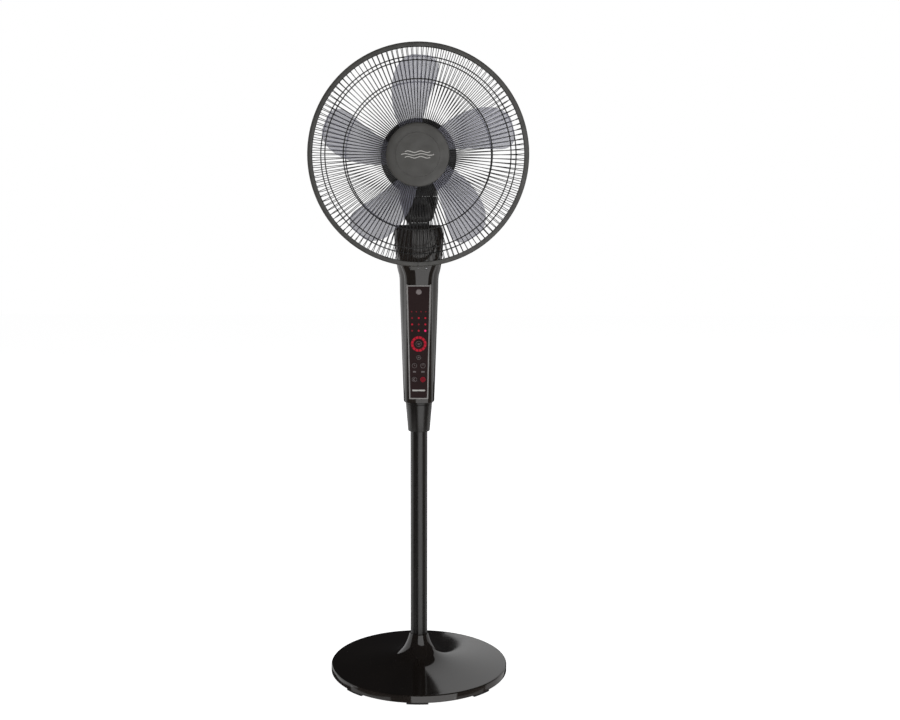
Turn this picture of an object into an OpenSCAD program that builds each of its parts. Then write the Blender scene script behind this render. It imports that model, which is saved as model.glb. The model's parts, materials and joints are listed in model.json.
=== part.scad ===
// Pedestal fan: five-blade head in a wire guard, on a telescopic pole and a round base.
// Origin on the floor under the pole axis, +Z up, the fan faces -Y.

/* [Base] */
// Diameter of the base disc
base_d = 370; // [300:5:440]
// Height of the upright rim of the base
rim_h = 15.3; // [12:0.1:24]
// Height of the feet under the rim
foot_h = 3.5; // [3:0.5:8]
// Number of feet
foot_n = 8; // [4:1:12]
// Length of each foot along the rim
foot_len = 44; // [20:1:60]
// Height of the top of the base's neck above the floor
neck_h = 82; // [70:1:110]
// Radial wall of the neck around the pole
neck_wall = 2; // [1.5:0.5:4]
// Wall of the base cover
base_wall = 2.5; // [1.5:0.5:4]
// Width of the flange under the rim
flange_w = 26; // [18:1:36]
// Thickness of the weight plate
weight_t = 5; // [3:0.5:8]
// Height of the seat of the pole on the weight
pole_seat = 40; // [30:1:50]

/* [Pole] */
// Outer diameter of the pole
pole_d = 35; // [30:0.5:38]
// Wall of the pole
pole_wall = 1.7; // [1:0.1:2.5]
// Length of the pole
pole_len = 521; // [420:1:700]
// Outer diameter of the sliding tube
tube_d = 30; // [24:0.5:30]
// Wall of the sliding tube
tube_wall = 1.2; // [0.8:0.1:2]
// Length of the sliding tube that stays in the pole at rest
tube_below = 316; // [260:1:380]
// Thread diameter of the pole bolt
bolt_d = 10; // [8:1:12]

/* [Height lock] */
// Height of the lock collar
collar_h = 61; // [45:1:75]
// Diameter of the collar at its top
collar_top_d = 55; // [52:0.2:60]
// Diameter of the collar at its foot
collar_foot_d = 44.5; // [43:0.5:48]
// Height of the collet above the end of the pole
collet_rise = 11; // [8:0.5:13]
// Gap between the collar and the housing
lock_gap = 0.7; // [0.5:0.1:2]

/* [Control housing] */
// Width of the housing at its foot
housing_foot_w = 62; // [58:0.2:80]
// Width of the housing under its shoulders
housing_mid_w = 78.4; // [70:0.1:90]
// Width of the housing at its shoulders
housing_top_w = 101; // [92:1:120]
// Width of the front fascia
fascia_w = 58; // [56:1:62]
// Depth of the housing in front of the pole axis
housing_front = 28; // [26:0.5:34]
// Depth of the housing behind the pole axis at its foot
housing_back = 30; // [28:0.5:38]
// Height of the shoulders
shoulder_h = 104; // [85:1:125]
// Wall of the housing
housing_wall = 2.5; // [1.5:0.5:3.5]
// Step of the fascia in front of the rear shell's edge
fascia_y = 12; // [8:0.5:16]

/* [Control panel] */
// Width of the panel frame at its foot
panel_foot_w = 38.6; // [38:0.2:46]
// Width of the panel frame at its top
panel_top_w = 48.7; // [44:0.1:52]
// Width of the frame's border
frame_w = 2.4; // [1.5:0.1:3.5]
// Height from the panel's foot to the lowest keys
low_keys_h = 40.4; // [30:0.2:50]
// Height from the lowest keys to the upper pair
key_pair_pitch = 28.4; // [22:0.2:36]
// Height from the upper pair to the mode key
mode_pitch = 16.7; // [15:0.1:24]
// Height from the mode key to the speed key in its ring
speed_pitch = 27.7; // [24:0.1:36]
// Height from the speed key to the lowest row of lamps
lamp_lift = 26.9; // [22:0.1:34]
// Height between rows of lamps
lamp_pitch = 12.9; // [9:0.1:16]
// Height from the top row of lamps to the remote receiver
receiver_lift = 40; // [20:1:50]
// Height from the receiver to the panel's top
panel_head = 13.4; // [10:0.1:20]
// Diameter of a key
key_d = 11; // [8:0.5:11.5]
// Sideways distance of the paired keys from the middle
key_x = 8.6; // [7:0.1:10]
// Travel of a key
key_travel = 0.6; // [0.3:0.1:1]
// Outer diameter of the light ring
ring_d = 32.2; // [28:0.2:34]
// Width of the light ring
ring_w = 5.8; // [3:0.2:6.5]

/* [Neck] */
// Height of the tilt axis above the housing
tilt_rise = 19.7; // [18:0.1:24]
// Radius of the barrel around the tilt axis
barrel_r = 27; // [25:0.5:30]
// Width of the barrel
barrel_w = 50; // [48:1:54]
// Height of the turntable above the tilt axis
turntable_rise = 38; // [35:1:45]
// Diameter of the turntable
turntable_d = 78; // [70:1:84]
// Diameter of the tilt pin
tilt_pin_d = 8; // [6:0.5:10]
// Diameter of the swing post
post_d = 12; // [9:0.5:14]

/* [Motor] */
// Height of the fan axis above the tilt axis
axis_rise = 116; // [112:1:130]
// Radius of the motor cover
cover_r = 75; // [70:0.5:80]
// Length of the motor cover behind the pole axis
cover_back = 97; // [85:1:115]
// Diameter of the motor shaft
shaft_d = 8; // [6:0.5:10]
// Running clearance of shafts and pins
running_gap = 0.04; // [0.02:0.01:0.08]
// Outer radius of the stator core
core_r = 48; // [44:0.5:49]
// Length of the stator core
core_len = 30; // [20:1:36]

/* [Blade] */
// Radius of the blade's tip
blade_r = 191; // [160:1:194]
// Number of blades
blade_n = 5; // [3:1:6]
// Radius of the blade's hub
blade_hub_r = 36; // [30:1:44]
// Thickness of a blade
blade_t = 2; // [1.5:0.1:3]

/* [Guard] */
// Outer diameter of the guard's hoop
guard_d = 427; // [410:1:460]
// Distance of the hoop in front of the pole axis
hoop_y = 105; // [100:1:115]
// Width of the hoop along the fan axis
hoop_w = 13; // [12:0.5:16]
// Radial depth of the hoop's lips
lip = 9.2; // [7:0.1:10]
// Thickness of a guard wire
wire_t = 1.8; // [1.4:0.1:2.4]
// Number of radial wires in each guard
wire_n = 64; // [32:4:96]
// Thickness of the ring wires
ring_wire_t = 2.4; // [2:0.1:3]
// Radius of the badge in the middle of the front guard
badge_r = 60; // [55:1:70]

/* [Hidden] */
$fn = 96;
fn_small = 32;
eps = 0.01;
slide_gap = 0.35;
seat_gap = 0.1;

gloss_black = [0.06, 0.06, 0.06];
soft_black = [0.12, 0.12, 0.12];
graphite = [0.3, 0.3, 0.29];
smoke = [0.55, 0.56, 0.64, 0.6];
steel = [0.7, 0.7, 0.72];
copper = [0.72, 0.4, 0.22];
board_green = [0.1, 0.35, 0.2];
lamp_red = [0.75, 0.06, 0.14];

// Base
base_r = base_d / 2;
pole_r = pole_d / 2;
neck_r = pole_r + neck_wall;
rim_top = foot_h + rim_h;
rim_round = 3;
flare = 12;
swell = neck_h - rim_top - flare * ln(base_r / neck_r);
swell_l = 11;
flange_top = foot_h + base_wall;
weight_r = base_r - base_wall - 14;
boss_r = pole_r + 8;
recess_r = 22;
recess_top = 20;
bolt_r = bolt_d / 2;

// Pole and height lock
tube_r = tube_d / 2;
pole_bore_r = pole_r - pole_wall;
pole_top = pole_seat + pole_len;
collet_wall = 3;
collet_grip = 26;
collet_top = pole_top + collet_rise;
housing_z = pole_top + 16.3;
collar_top = housing_z - lock_gap;
collar_foot = collar_top - collar_h;
tube_foot = pole_top - tube_below;

// Panel, from its foot up
panel_z = housing_z + 8.2;
low_keys_z = panel_z + low_keys_h;
pair_z = low_keys_z + key_pair_pitch;
mode_z = pair_z + mode_pitch;
speed_z = mode_z + speed_pitch;
lamps_z = speed_z + lamp_lift;
lamp_rows = 4;
receiver_z = lamps_z + (lamp_rows - 1) * lamp_pitch + receiver_lift;
panel_top = receiver_z + panel_head;
panel_margin = 15.5;
lamp_x = 13.3;
key_r = key_d / 2;
key_gap = 0.3;
lens_t = 2.5;
key_face = housing_front + 0.8;
board_face = 18.5;
board_t = 1.5;
key_back = board_face + 4.2 + key_travel + 0.1;
keys = [
  ["key_speed", 0, speed_z, key_r + 0.8],
  ["key_mode", 0, mode_z, key_r - 0.5],
  ["key_timer", -key_x, pair_z, key_r],
  ["key_swing", key_x, pair_z, key_r],
  ["key_night", -key_x, low_keys_z, key_r],
  ["key_power", key_x, low_keys_z, key_r]
];

// Housing
shoulder_z = panel_top + panel_margin;
housing_top = shoulder_z + shoulder_h;
section_r = 15;
fascia_r = 8;
tube_top = housing_top - 42;
split_gap = 0.3;
mouth_gap = 4;
screw_places = [
  for (side = [-1, 1]) each [
    [side * (fascia_w / 2 - 3.6), panel_z + 12, housing_front - 4],
    [side * (housing_top_w / 2 - 12), housing_top - 70, housing_front - 1]
  ]
];
screw_r = 1.6;
screw_head_r = 2.8;
screw_seat = 12;
front_boss_r = screw_r + 1.8;
rear_boss_r = screw_head_r + 1.8;
lip_in = 6;
lip_points = [
  [fascia_w / 2 - lip_in, housing_z + lip_in], [fascia_w / 2 - lip_in, shoulder_z + 4],
  [housing_top_w / 2 - 7.5 - lip_in, shoulder_z + 20], [housing_top_w / 2 - 1.5 - lip_in, housing_top - 18 - lip_in],
  [housing_top_w / 2 - 6 - lip_in, housing_top - lip_in]
];
gland_z = housing_z + 24;
gland_bore_r = 3.6;
gland_r = 6;
gland_inside = 3;

// Neck
tilt_z = housing_top + tilt_rise;
turntable_z = tilt_z + turntable_rise;
turntable_r = turntable_d / 2;
tilt_pin_r = tilt_pin_d / 2;
post_r = post_d / 2;
tongue_w = barrel_w - 19.2;
cheek_t = 5.6;
cheek_gap = 0.5;
cheek_r = 12;
tongue_r = 14;
socket_r = tube_r + 4.5;
post_foot = tilt_z + tilt_pin_r + 6;
turn_gap = 0.6;

// Head, measured along the fan axis with the front positive
hub_z = tilt_z + axis_rise;
cover_wall = 2.5;
cover_front = 40;
cover_side = 55;
plate_front = 52;
plate_t = 3;
spigot_r = 31;
shaft_r = shaft_d / 2;
bell_skirt = 2.3;
bell_r = core_r + 0.2 + bell_skirt;
bell_face = core_len / 2 + 14;
bell_t = 3;
bearing_r = shaft_r + 4;
bearing_len = 12;
motor_screw_ring = bell_r + 4;
air_gap = 0.4;
rotor_r = 26.6;
saddle_z = hub_z - bell_r - 12;

// Swing drive, in plan
drive_y = 50;
swing_reach = 40;
fixed_pin_x = 26;
crank_r = fixed_pin_x * sin(swing_reach);
link_z = saddle_z - 2.6;
link_t = 1.8;
crank_z = link_z + link_t + 0.6;
crank_t = 3;
drive_z = crank_z + crank_t + 0.8;
drive_r = 16;
drive_h = 15;
drive_post_x = 25;

// Guard
guard_r = guard_d / 2;
hoop_wall = 1.6;
hoop_back = hoop_y - hoop_w / 2;
hoop_front = hoop_y + hoop_w / 2;
edge_r = guard_r - 4;
edge_y = hoop_w / 2 - hoop_wall - 2.1;
lip_r = guard_r - lip;
bend_r = lip_r - wire_t / 2 - 1.2;
rear_wire = [
  [52, plate_front + 3], [bend_r * 0.73, plate_front + 6.5], [bend_r * 0.89, plate_front + 14],
  [bend_r * 0.974, plate_front + 28], [bend_r, hoop_back + hoop_wall + 0.6], [edge_r, hoop_y - edge_y]
];
badge_back = hoop_y + 43.5;
front_wire = [
  [50, badge_back - 1.5], [bend_r * 0.63, badge_back - 6.5], [bend_r * 0.84, badge_back - 15.5],
  [bend_r * 0.955, badge_back - 28], [bend_r, hoop_front - hoop_wall - 0.6], [edge_r, hoop_y + edge_y]
];
hoop_slit = 1.2;
tab_x = 15;
tab_drop = 6.5;

// Blade rows: share of the tip radius, leading angle, trailing angle, back and front places
blade_rows = [
  [0.175, 86, 131, 76, 114], [0.34, 83, 124, 72, 119], [0.54, 80, 117.5, 71, 119],
  [0.7, 77.8, 112, 73, 117], [0.85, 76.5, 106, 77, 113], [0.93, 77.5, 101.5, 81, 110],
  [0.98, 80.5, 97, 85, 106], [1, 84.5, 93, 90, 102]
];
blade_steps = 8;
blade_camber = 5;

// Turns a part drawn in the XY plane with Z forward so that it faces the front
module facing() rotate([90, 0, 0]) children();
// The fan axis: X to the right, Y up, Z forward
module fan() translate([0, 0, hub_z]) facing() children();
// An upright cylinder from one height to another
module bar(r, z0, z1, fn = $fn) translate([0, 0, z0]) cylinder(r = r, h = z1 - z0, $fn = fn);
// An upright tube from one height to another
module pipe(ro, ri, z0, z1, fn = $fn) difference() {
  bar(ro, z0, z1, fn);
  bar(ri, z0 - 1, z1 + 1, fn);
}
// A box between two corners
module block(a, b) translate(a) cube(b - a);
// A cylinder along X
module axle(r, x0, x1, fn = fn_small) translate([x0, 0, 0]) rotate([0, 90, 0])
  cylinder(r = r, h = x1 - x0, $fn = fn);
// Copies children at equal angles
module around(n, start = 0) for (i = [0 : n - 1]) rotate([0, 0, start + i * 360 / n]) children();

// --- Base ---
function flare_z(r) = rim_top + flare * ln(base_r / r) + swell * exp((neck_r - r) / swell_l);
function flare_slope(r) = flare / r + swell / swell_l * exp((neck_r - r) / swell_l);
function flare_r(i, n) = neck_r * pow((base_r - rim_round) / neck_r, i / n);
function under(r) = [r, flare_z(r)] - base_wall * [flare_slope(r), 1] / norm([flare_slope(r), 1]);

module base_cover() {
  steps = 24;
  outer = [for (i = [0 : steps]) [flare_r(i, steps), flare_z(flare_r(i, steps))]];
  corner_z = flare_z(base_r - rim_round) - rim_round;
  corner = [for (a = [72 : -18 : 0]) [base_r - rim_round + rim_round * cos(a), corner_z + rim_round * sin(a)]];
  foot = [
    [base_r, foot_h], [base_r - flange_w, foot_h], [base_r - flange_w, flange_top],
    [base_r - base_wall, flange_top], [base_r - base_wall, corner_z]
  ];
  inner = [for (i = [steps - 1 : -1 : 1]) under(flare_r(i, steps))];
  color(gloss_black) difference() {
    union() {
      rotate_extrude() polygon(concat(outer, corner, foot, inner, [[neck_r - neck_wall / 2, neck_h - 8]]));
      pipe(neck_r, pole_r - 1, neck_h - 10, neck_h);
    }
    bar(pole_r + slide_gap, foot_h, neck_h + 1);
  }
}

module base_weight() color(graphite) difference() {
  union() {
    bar(weight_r, flange_top, flange_top + weight_t);
    bar(boss_r, flange_top, pole_seat);
  }
  bar(recess_r, flange_top - 1, recess_top);
  bar(bolt_r + 0.4, 0, pole_seat + 1);
}

module base_feet() {
  foot_r = base_r - 16;
  angle = foot_len / base_r * 180 / PI;
  color(soft_black) around(foot_n, -90 - angle / 2)
    rotate_extrude(angle = angle) translate([foot_r, 0]) square([14.5, foot_h]);
}

module pole_bolt() color(steel) union() {
  bar(bolt_r, recess_top - 2, pole_seat + 24, 48);
  difference() {
    bar(bolt_r * 1.9, recess_top - 9, recess_top - 2);
    block([-1.5, -bolt_d * 2, recess_top - 10], [1.5, bolt_d * 2, recess_top - 6]);
  }
}

module pole_washer() color(steel) pipe(bolt_r * 2.4, bolt_r + 0.3, recess_top - 2, recess_top);

module pole_plug() color(soft_black) pipe(pole_bore_r - seat_gap, bolt_r + seat_gap, pole_seat, pole_seat + 30);

module outer_pole() color(gloss_black) pipe(pole_r, pole_bore_r, pole_seat, pole_top);

// --- Height lock ---
module height_collet() color(soft_black) difference() {
  union() {
    bar(pole_r + collet_wall, pole_top - collet_grip, collet_top - 4);
    translate([0, 0, collet_top - 4]) cylinder(r1 = pole_r + collet_wall, r2 = pole_r, h = 4);
  }
  bar(pole_r + seat_gap, pole_top - collet_grip - 1, pole_top);
  bar(tube_r + slide_gap, pole_top - 1, collet_top + 1);
  around(3) block([pole_r - 6, -1, pole_top + 3], [pole_r + 8, 1, collet_top + 1]);
}

module height_collar() {
  room_r = pole_r + collet_wall + slide_gap;
  color(gloss_black) difference() {
    translate([0, 0, collar_foot]) cylinder(r1 = collar_foot_d / 2, r2 = collar_top_d / 2, h = collar_h);
    bar(pole_r + slide_gap, collar_foot - 1, pole_top);
    bar(room_r, pole_top - collet_grip - 1, collet_top + 0.5);
    bar(tube_r + slide_gap, collet_top, collar_top + 1);
  }
}

module inner_tube() color(steel) pipe(tube_r, tube_r - tube_wall, tube_foot, tube_top);

// --- Control housing ---
// One level of the housing: width, front and back depth, height
module level(corner_r, w, front, back, z, inset) {
  width = w - 2 * inset;
  y0 = -front + inset;
  y1 = back - inset;
  r = corner_r - inset;
  translate([0, (y0 + y1) / 2, z]) linear_extrude(height = 0.4) offset(r = r, $fn = fn_small)
    square([width - 2 * r, y1 - y0 - 2 * r], center = true);
}

module housing_form(r, foot_w, mid_w, neck_w, top_w, inset) {
  hull() {
    level(r, foot_w, housing_front, housing_back, housing_z + inset, inset);
    level(r, mid_w, housing_front, housing_back + 4, shoulder_z, inset);
  }
  hull() {
    level(r, mid_w, housing_front, housing_back + 4, shoulder_z, inset);
    level(r, neck_w, housing_front, housing_back + 6, shoulder_z + 16, inset);
    level(r, top_w, housing_front, housing_back + 12, housing_top - 18, inset);
    level(r, top_w - 9, housing_front - 3, housing_back + 8, housing_top - 0.4 - inset, inset);
  }
}

module wide_form(inset)
  housing_form(section_r, housing_foot_w, housing_mid_w, housing_top_w - 13, housing_top_w, inset);
module fascia_form(inset)
  housing_form(fascia_r, fascia_w, fascia_w, housing_top_w - 15, housing_top_w - 3, inset);

module mouth() block(
  [-barrel_w / 2 - mouth_gap, -barrel_r + 3, housing_top - 12],
  [barrel_w / 2 + mouth_gap, barrel_r - 3, housing_top + 1]
);

// A trapezoid across the panel, grown outwards by an amount
function panel_outline(grow) = [
  [-panel_foot_w / 2 - grow, panel_z - grow], [panel_foot_w / 2 + grow, panel_z - grow],
  [panel_top_w / 2 + grow, panel_top + grow], [-panel_top_w / 2 - grow, panel_top + grow]
];

module panel_plate(grow, from, to) facing() translate([0, 0, from])
  linear_extrude(height = to - from) polygon(panel_outline(grow));

module at_screws() for (p = screw_places) translate([p[0], 0, p[1]]) facing() children();

// The opening inside the rear shell's front lip
module lip_window() facing() translate([0, 0, 5]) linear_extrude(height = 12) polygon([
  for (side = [-1, 1], p = side < 0 ? lip_points : [for (i = [len(lip_points) - 1 : -1 : 0]) lip_points[i]])
    [side * p[0], p[1]]
]);

module housing_front() color(gloss_black) difference() {
  union() {
    difference() {
      fascia_form(0);
      fascia_form(housing_wall);
      block([-200, -fascia_y - split_gap / 2, 0], [200, 200, 3000]);
    }
    for (p = screw_places) translate([p[0], 0, p[1]]) facing()
      bar(front_boss_r, fascia_y + split_gap / 2, p[2], fn_small);
  }
  panel_plate(split_gap / 2, housing_front - housing_wall - 2, housing_front + 1);
  at_screws() bar(screw_r + seat_gap, fascia_y - 1, fascia_y + 8, fn_small);
  bar(tube_r + slide_gap, housing_z - 1, housing_z + 10);
  mouth();
}

module housing_rear() {
  bosses_top = fascia_y - split_gap / 2;
  color(gloss_black) difference() {
    union() {
      difference() {
        wide_form(0);
        wide_form(housing_wall);
        block([-200, -200, 0], [200, -fascia_y + split_gap / 2, 3000]);
      }
      intersection() {
        wide_form(housing_wall / 2);
        union() {
          difference() {
            block([-200, -fascia_y + split_gap / 2, 0], [200, -fascia_y + 2.5, 3000]);
            lip_window();
          }
          at_screws() bar(rear_boss_r, -housing_back - 20, bosses_top, fn_small);
        }
      }
    }
    at_screws() bar(screw_r + seat_gap, -200, bosses_top + 1, fn_small);
    at_screws() bar(screw_head_r + 0.3, -200, -screw_seat, fn_small);
    translate([0, 0, gland_z]) facing() bar(gland_r + seat_gap, -housing_back - 6, -housing_back + 6, 48);
    bar(tube_r + slide_gap, housing_z - 1, housing_z + 10);
    mouth();
  }
}

module housing_screws() color(steel) at_screws() union() {
  bar(screw_r, -screw_seat - 1, fascia_y + 7, fn_small);
  bar(screw_head_r, -screw_seat - 2.1, -screw_seat, fn_small);
}

module cord_gland() color(soft_black) translate([0, 0, gland_z]) facing() difference() {
  union() {
    bar(gland_r, -housing_back - 5, -housing_back + gland_inside, 48);
    bar(gland_r + 2, -housing_back - 7, -housing_back - 4.5 + eps, 48);
    bar(gland_r + 1.2, -housing_back + gland_inside - eps, -housing_back + gland_inside + 1.5, 48);
  }
  bar(gland_bore_r, -housing_back - 10, -housing_back + 10, 48);
}

// --- Control panel ---
module panel_frame() color([0.47, 0.45, 0.44]) difference() {
  union() {
    panel_plate(0, housing_front - housing_wall - 4, housing_front + 0.5);
    panel_plate(1.2, housing_front - housing_wall - 4.2, housing_front - housing_wall - 2.6);
  }
  panel_plate(-frame_w, 0, housing_front + 2);
}

module key_hole(k, gap, from, to) translate([k[1], 0, k[2]]) facing() bar(k[3] + gap, from, to, 48);

module panel_lens() color([0.15, 0.09, 0.1]) difference() {
  panel_plate(-frame_w - seat_gap, housing_front - lens_t, housing_front);
  for (k = keys) key_hole(k, key_gap, 0, housing_front + 1);
  translate([0, 0, speed_z]) facing()
    pipe(ring_d / 2 + seat_gap, ring_d / 2 - ring_w - seat_gap, housing_front - 1, housing_front + 1);
  translate([0, 0, receiver_z]) facing() bar(5.8 + seat_gap, 0, housing_front + 1, 48);
}

module light_ring() color(lamp_red) translate([0, 0, speed_z]) facing()
  pipe(ring_d / 2, ring_d / 2 - ring_w, housing_front - 0.95, housing_front + 0.15);

module indicator_lamps() {
  lamp_back = board_face;
  lamp_front = housing_front - lens_t - 0.3;
  color(lamp_red) facing() {
    for (row = [0 : lamp_rows - 2], column = [-1 : 1])
      translate([column * lamp_x, lamps_z + row * lamp_pitch]) bar(1.5, lamp_back, lamp_front, fn_small);
    for (column = [-1.5 : 1.5])
      translate([column * lamp_x * 0.72, lamps_z + (lamp_rows - 1) * lamp_pitch])
        bar(1.2, lamp_back, lamp_front, fn_small);
  }
}

module remote_receiver() color([0.4, 0.38, 0.38]) translate([0, 0, receiver_z]) facing() union() {
  bar(5.8, board_face, housing_front, 48);
  translate([0, 0, housing_front - eps]) cylinder(r1 = 5.8, r2 = 4.6, h = 0.5, $fn = 48);
}

module display_board() color(board_green) facing() translate([0, 0, board_face - board_t])
  linear_extrude(height = board_t) intersection() {
    polygon(panel_outline(-1));
    translate([-panel_top_w, low_keys_z - 14]) square([2 * panel_top_w, panel_top]);
  }

module tact_switches() color(soft_black) for (k = keys) translate([k[1], 0, k[2]]) facing() union() {
  block([-3, -3, board_face], [3, 3, board_face + 3.2]);
  bar(1.7, board_face + 3.2 - eps, board_face + 4.2, fn_small);
}

module panel_key(k, tint) color(tint) translate([k[1], 0, k[2]]) facing() union() {
  bar(k[3], housing_front - lens_t - 0.5, key_face, 48);
  bar(2, key_back, housing_front - lens_t, fn_small);
}

module power_board() color(board_green)
  block([-22, tube_r + 4, panel_z + 45], [22, tube_r + 5.6, panel_z + 165]);

module run_capacitor() color(soft_black)
  block([-15, tube_r + 2, panel_z + 178], [15, tube_r + 13, panel_z + 198]);

// --- Neck ---
module neck_bracket() {
  top = tilt_z;
  inner_x = tongue_w / 2 + cheek_gap;
  color(soft_black) difference() {
    union() {
      bar(socket_r, tube_top - 46, tube_top + 6);
      block([-inner_x - cheek_t, -cheek_r, tube_top + 5], [inner_x + cheek_t, cheek_r, tilt_z]);
      translate([0, 0, tilt_z]) axle(cheek_r, -inner_x - cheek_t, inner_x + cheek_t, 48);
    }
    bar(tube_r + seat_gap, tube_top - 47, tube_top);
    bar(tube_r - 4, tube_top - 1, tube_top + 7);
    translate([0, 0, tilt_z]) axle(tongue_r + 1, -inner_x, inner_x, 48);
    block([-inner_x, -cheek_r - 1, tilt_z - tongue_r - 1], [inner_x, cheek_r + 1, tilt_z + cheek_r + 1]);
    translate([0, 0, tilt_z]) axle(tilt_pin_r, -50, 50, 48);
  }
}

module tilt_pin() {
  end = tongue_w / 2 + cheek_gap + cheek_t;
  color(steel) translate([0, 0, tilt_z]) union() {
    axle(tilt_pin_r, -end - eps, end + 1, 48);
    axle(tilt_pin_r + 2.5, -end - 1.2, -end, 48);
  }
}

module tilt_clip() {
  end = tongue_w / 2 + cheek_gap + cheek_t;
  color(steel) translate([0, 0, tilt_z]) difference() {
    axle(tilt_pin_r + 2.2, end, end + 0.8, 48);
    axle(tilt_pin_r, end - 1, end + 2, 48);
    block([end - 1, -1.5, -10], [end + 2, 1.5, 0]);
  }
}

module tilt_bracket() {
  plate_r = turntable_r - 5;
  color(soft_black) difference() {
    union() {
      translate([0, 0, tilt_z]) axle(tongue_r, -tongue_w / 2, tongue_w / 2, 48);
      block([-tongue_w / 2, -tongue_r, tilt_z], [tongue_w / 2, tongue_r, turntable_z]);
      bar(plate_r, turntable_z - 5, turntable_z - 1);
      translate([fixed_pin_x, 0, 0]) bar(2, turntable_z - 2, link_z - 0.5, fn_small);
    }
    translate([0, 0, tilt_z]) axle(tilt_pin_r + running_gap, -50, 50, 48);
    bar(post_r + running_gap, post_foot - 1, turntable_z + 1);
  }
}

module neck_form(inset) hull() {
  translate([0, 0, tilt_z]) axle(barrel_r - inset, -barrel_w / 2 + inset, barrel_w / 2 - inset, 48);
  bar(turntable_r - inset, turntable_z - 6, turntable_z - inset, 64);
}

module neck_cover() difference() {
  neck_form(0);
  neck_form(2);
  block([-barrel_w / 2 + 2, -barrel_r + 4, 0], [barrel_w / 2 - 2, barrel_r - 4, tilt_z - 8]);
  bar(turntable_r - 4, turntable_z - 4.5, turntable_z + 1);
}

module neck_cover_front() color(gloss_black) difference() {
  neck_cover();
  block([-100, -split_gap / 2, 0], [100, 100, 3000]);
}

module neck_cover_rear() color(gloss_black) difference() {
  neck_cover();
  block([-100, -100, 0], [100, split_gap / 2, 3000]);
}

// --- Swing drive ---
module pivot_post() color(steel) union() {
  bar(post_r, post_foot, saddle_z + 2);
  difference() {
    block([-20, -22, saddle_z], [20, 22, hub_z - bell_r + 6]);
    translate([0, 40, hub_z]) facing() bar(bell_r + seat_gap, 0, 80);
  }
}

module swing_motor() color(steel) translate([0, drive_y, 0]) union() {
  bar(drive_r, drive_z, drive_z + drive_h);
  block([-drive_post_x - 3.5, -4, drive_z + 3], [drive_post_x + 3.5, 4, drive_z + 4.5]);
  bar(2.5, crank_z, drive_z + 1, fn_small);
}

module swing_crank() color(soft_black) translate([0, drive_y, 0]) difference() {
  union() {
    bar(7, crank_z, crank_z + crank_t, fn_small);
    block([0, -3.5, crank_z], [crank_r, 3.5, crank_z + crank_t]);
    translate([crank_r, 0, 0]) bar(3.5, crank_z, crank_z + crank_t, fn_small);
    translate([crank_r, 0, 0]) bar(1.5, link_z - 0.6, crank_z + 1, fn_small);
  }
  bar(2.5 + running_gap, crank_z - 1, crank_z + crank_t + 1, fn_small);
}

module swing_link() {
  reach = [fixed_pin_x - crank_r, -drive_y];
  length = norm(reach);
  color(steel) translate([crank_r, drive_y, 0]) rotate([0, 0, atan2(reach[1], reach[0])]) difference() {
    union() {
      bar(3.5, link_z, link_z + link_t, fn_small);
      block([0, -3, link_z], [length, 3, link_z + link_t]);
      translate([length, 0, 0]) bar(4, link_z, link_z + link_t, fn_small);
    }
    bar(1.5 + running_gap, link_z - 1, link_z + link_t + 1, fn_small);
    translate([length, 0, 0]) bar(2.4, link_z - 1, link_z + link_t + 1, fn_small);
  }
}

// --- Motor ---
module bell(sign) fan() difference() {
  mirror([0, 0, sign > 0 ? 0 : 1]) difference() {
    union() {
      pipe(bell_r, core_r + 0.2, 0.3, bell_face + eps);
      bar(motor_screw_ring + 4, bell_face, bell_face + bell_t);
      bar(bearing_r + 4, bell_face, bell_face + bearing_len + 1.5);
    }
    bar(bearing_r, bell_face - 1, bell_face + bearing_len);
    bar(shaft_r + 1, bell_face, bell_face + bearing_len + 3);
    around(4, 45) translate([motor_screw_ring, 0, 0]) bar(2.2, bell_face - 1, bell_face + bell_t + 1, fn_small);
    around(6) translate([core_r - 22, 0, 0]) bar(5, bell_face - 1, bell_face + bell_t + 1, fn_small);
  }
}

module motor_front_bell() color(steel) bell(1);
module motor_rear_bell() color(steel) bell(-1);

module stator_core() color([0.5, 0.5, 0.53]) fan() pipe(core_r, rotor_r + air_gap, -core_len / 2, core_len / 2);

module stator_windings() color(copper) fan() for (z = [core_len / 2, -core_len / 2 - 9])
  pipe(core_r - 4, rotor_r + 3.4, z, z + 9);

module bearing(sign) color([0.7, 0.55, 0.3]) fan() mirror([0, 0, sign > 0 ? 0 : 1])
  pipe(bearing_r, shaft_r + running_gap, bell_face + bearing_len - 12, bell_face + bearing_len, 48);

module motor_screws() color(steel) fan() around(4, 45) translate([motor_screw_ring, 0, 0]) union() {
  bar(2, -bell_face - bell_t - eps, plate_front - plate_t - 4, fn_small);
  bar(3.8, -bell_face - bell_t - 2.5, -bell_face - bell_t, fn_small);
}

module cover_form(inset) {
  r = cover_r - inset;
  dome = [for (a = [0 : 9 : 90]) [r * cos(a), -cover_side - (cover_back - cover_side - inset) * sin(a)]];
  rotate_extrude() polygon(concat([[0, cover_front + (inset > 0 ? 1 : 0)], [r, cover_front + (inset > 0 ? 1 : 0)]], dome));
}

module motor_cover() {
  foot_r = turntable_r - 1;
  foot_z = turntable_z + turn_gap;
  color(gloss_black) difference() {
    union() {
      difference() {
        union() {
          fan() cover_form(0);
          bar(foot_r, foot_z, hub_z - cover_r + 12);
        }
        fan() cover_form(cover_wall);
      }
      for (x = [-drive_post_x, drive_post_x]) translate([x, drive_y, 0])
        bar(2.5, hub_z - cover_r + 3.5, drive_z + 3, fn_small);
    }
    bar(foot_r - cover_wall, foot_z - 1, hub_z - 40);
    fan() around(16) block([20, -1.6, -cover_back - 2], [52, 1.6, -cover_side - 20]);
  }
}

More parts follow.
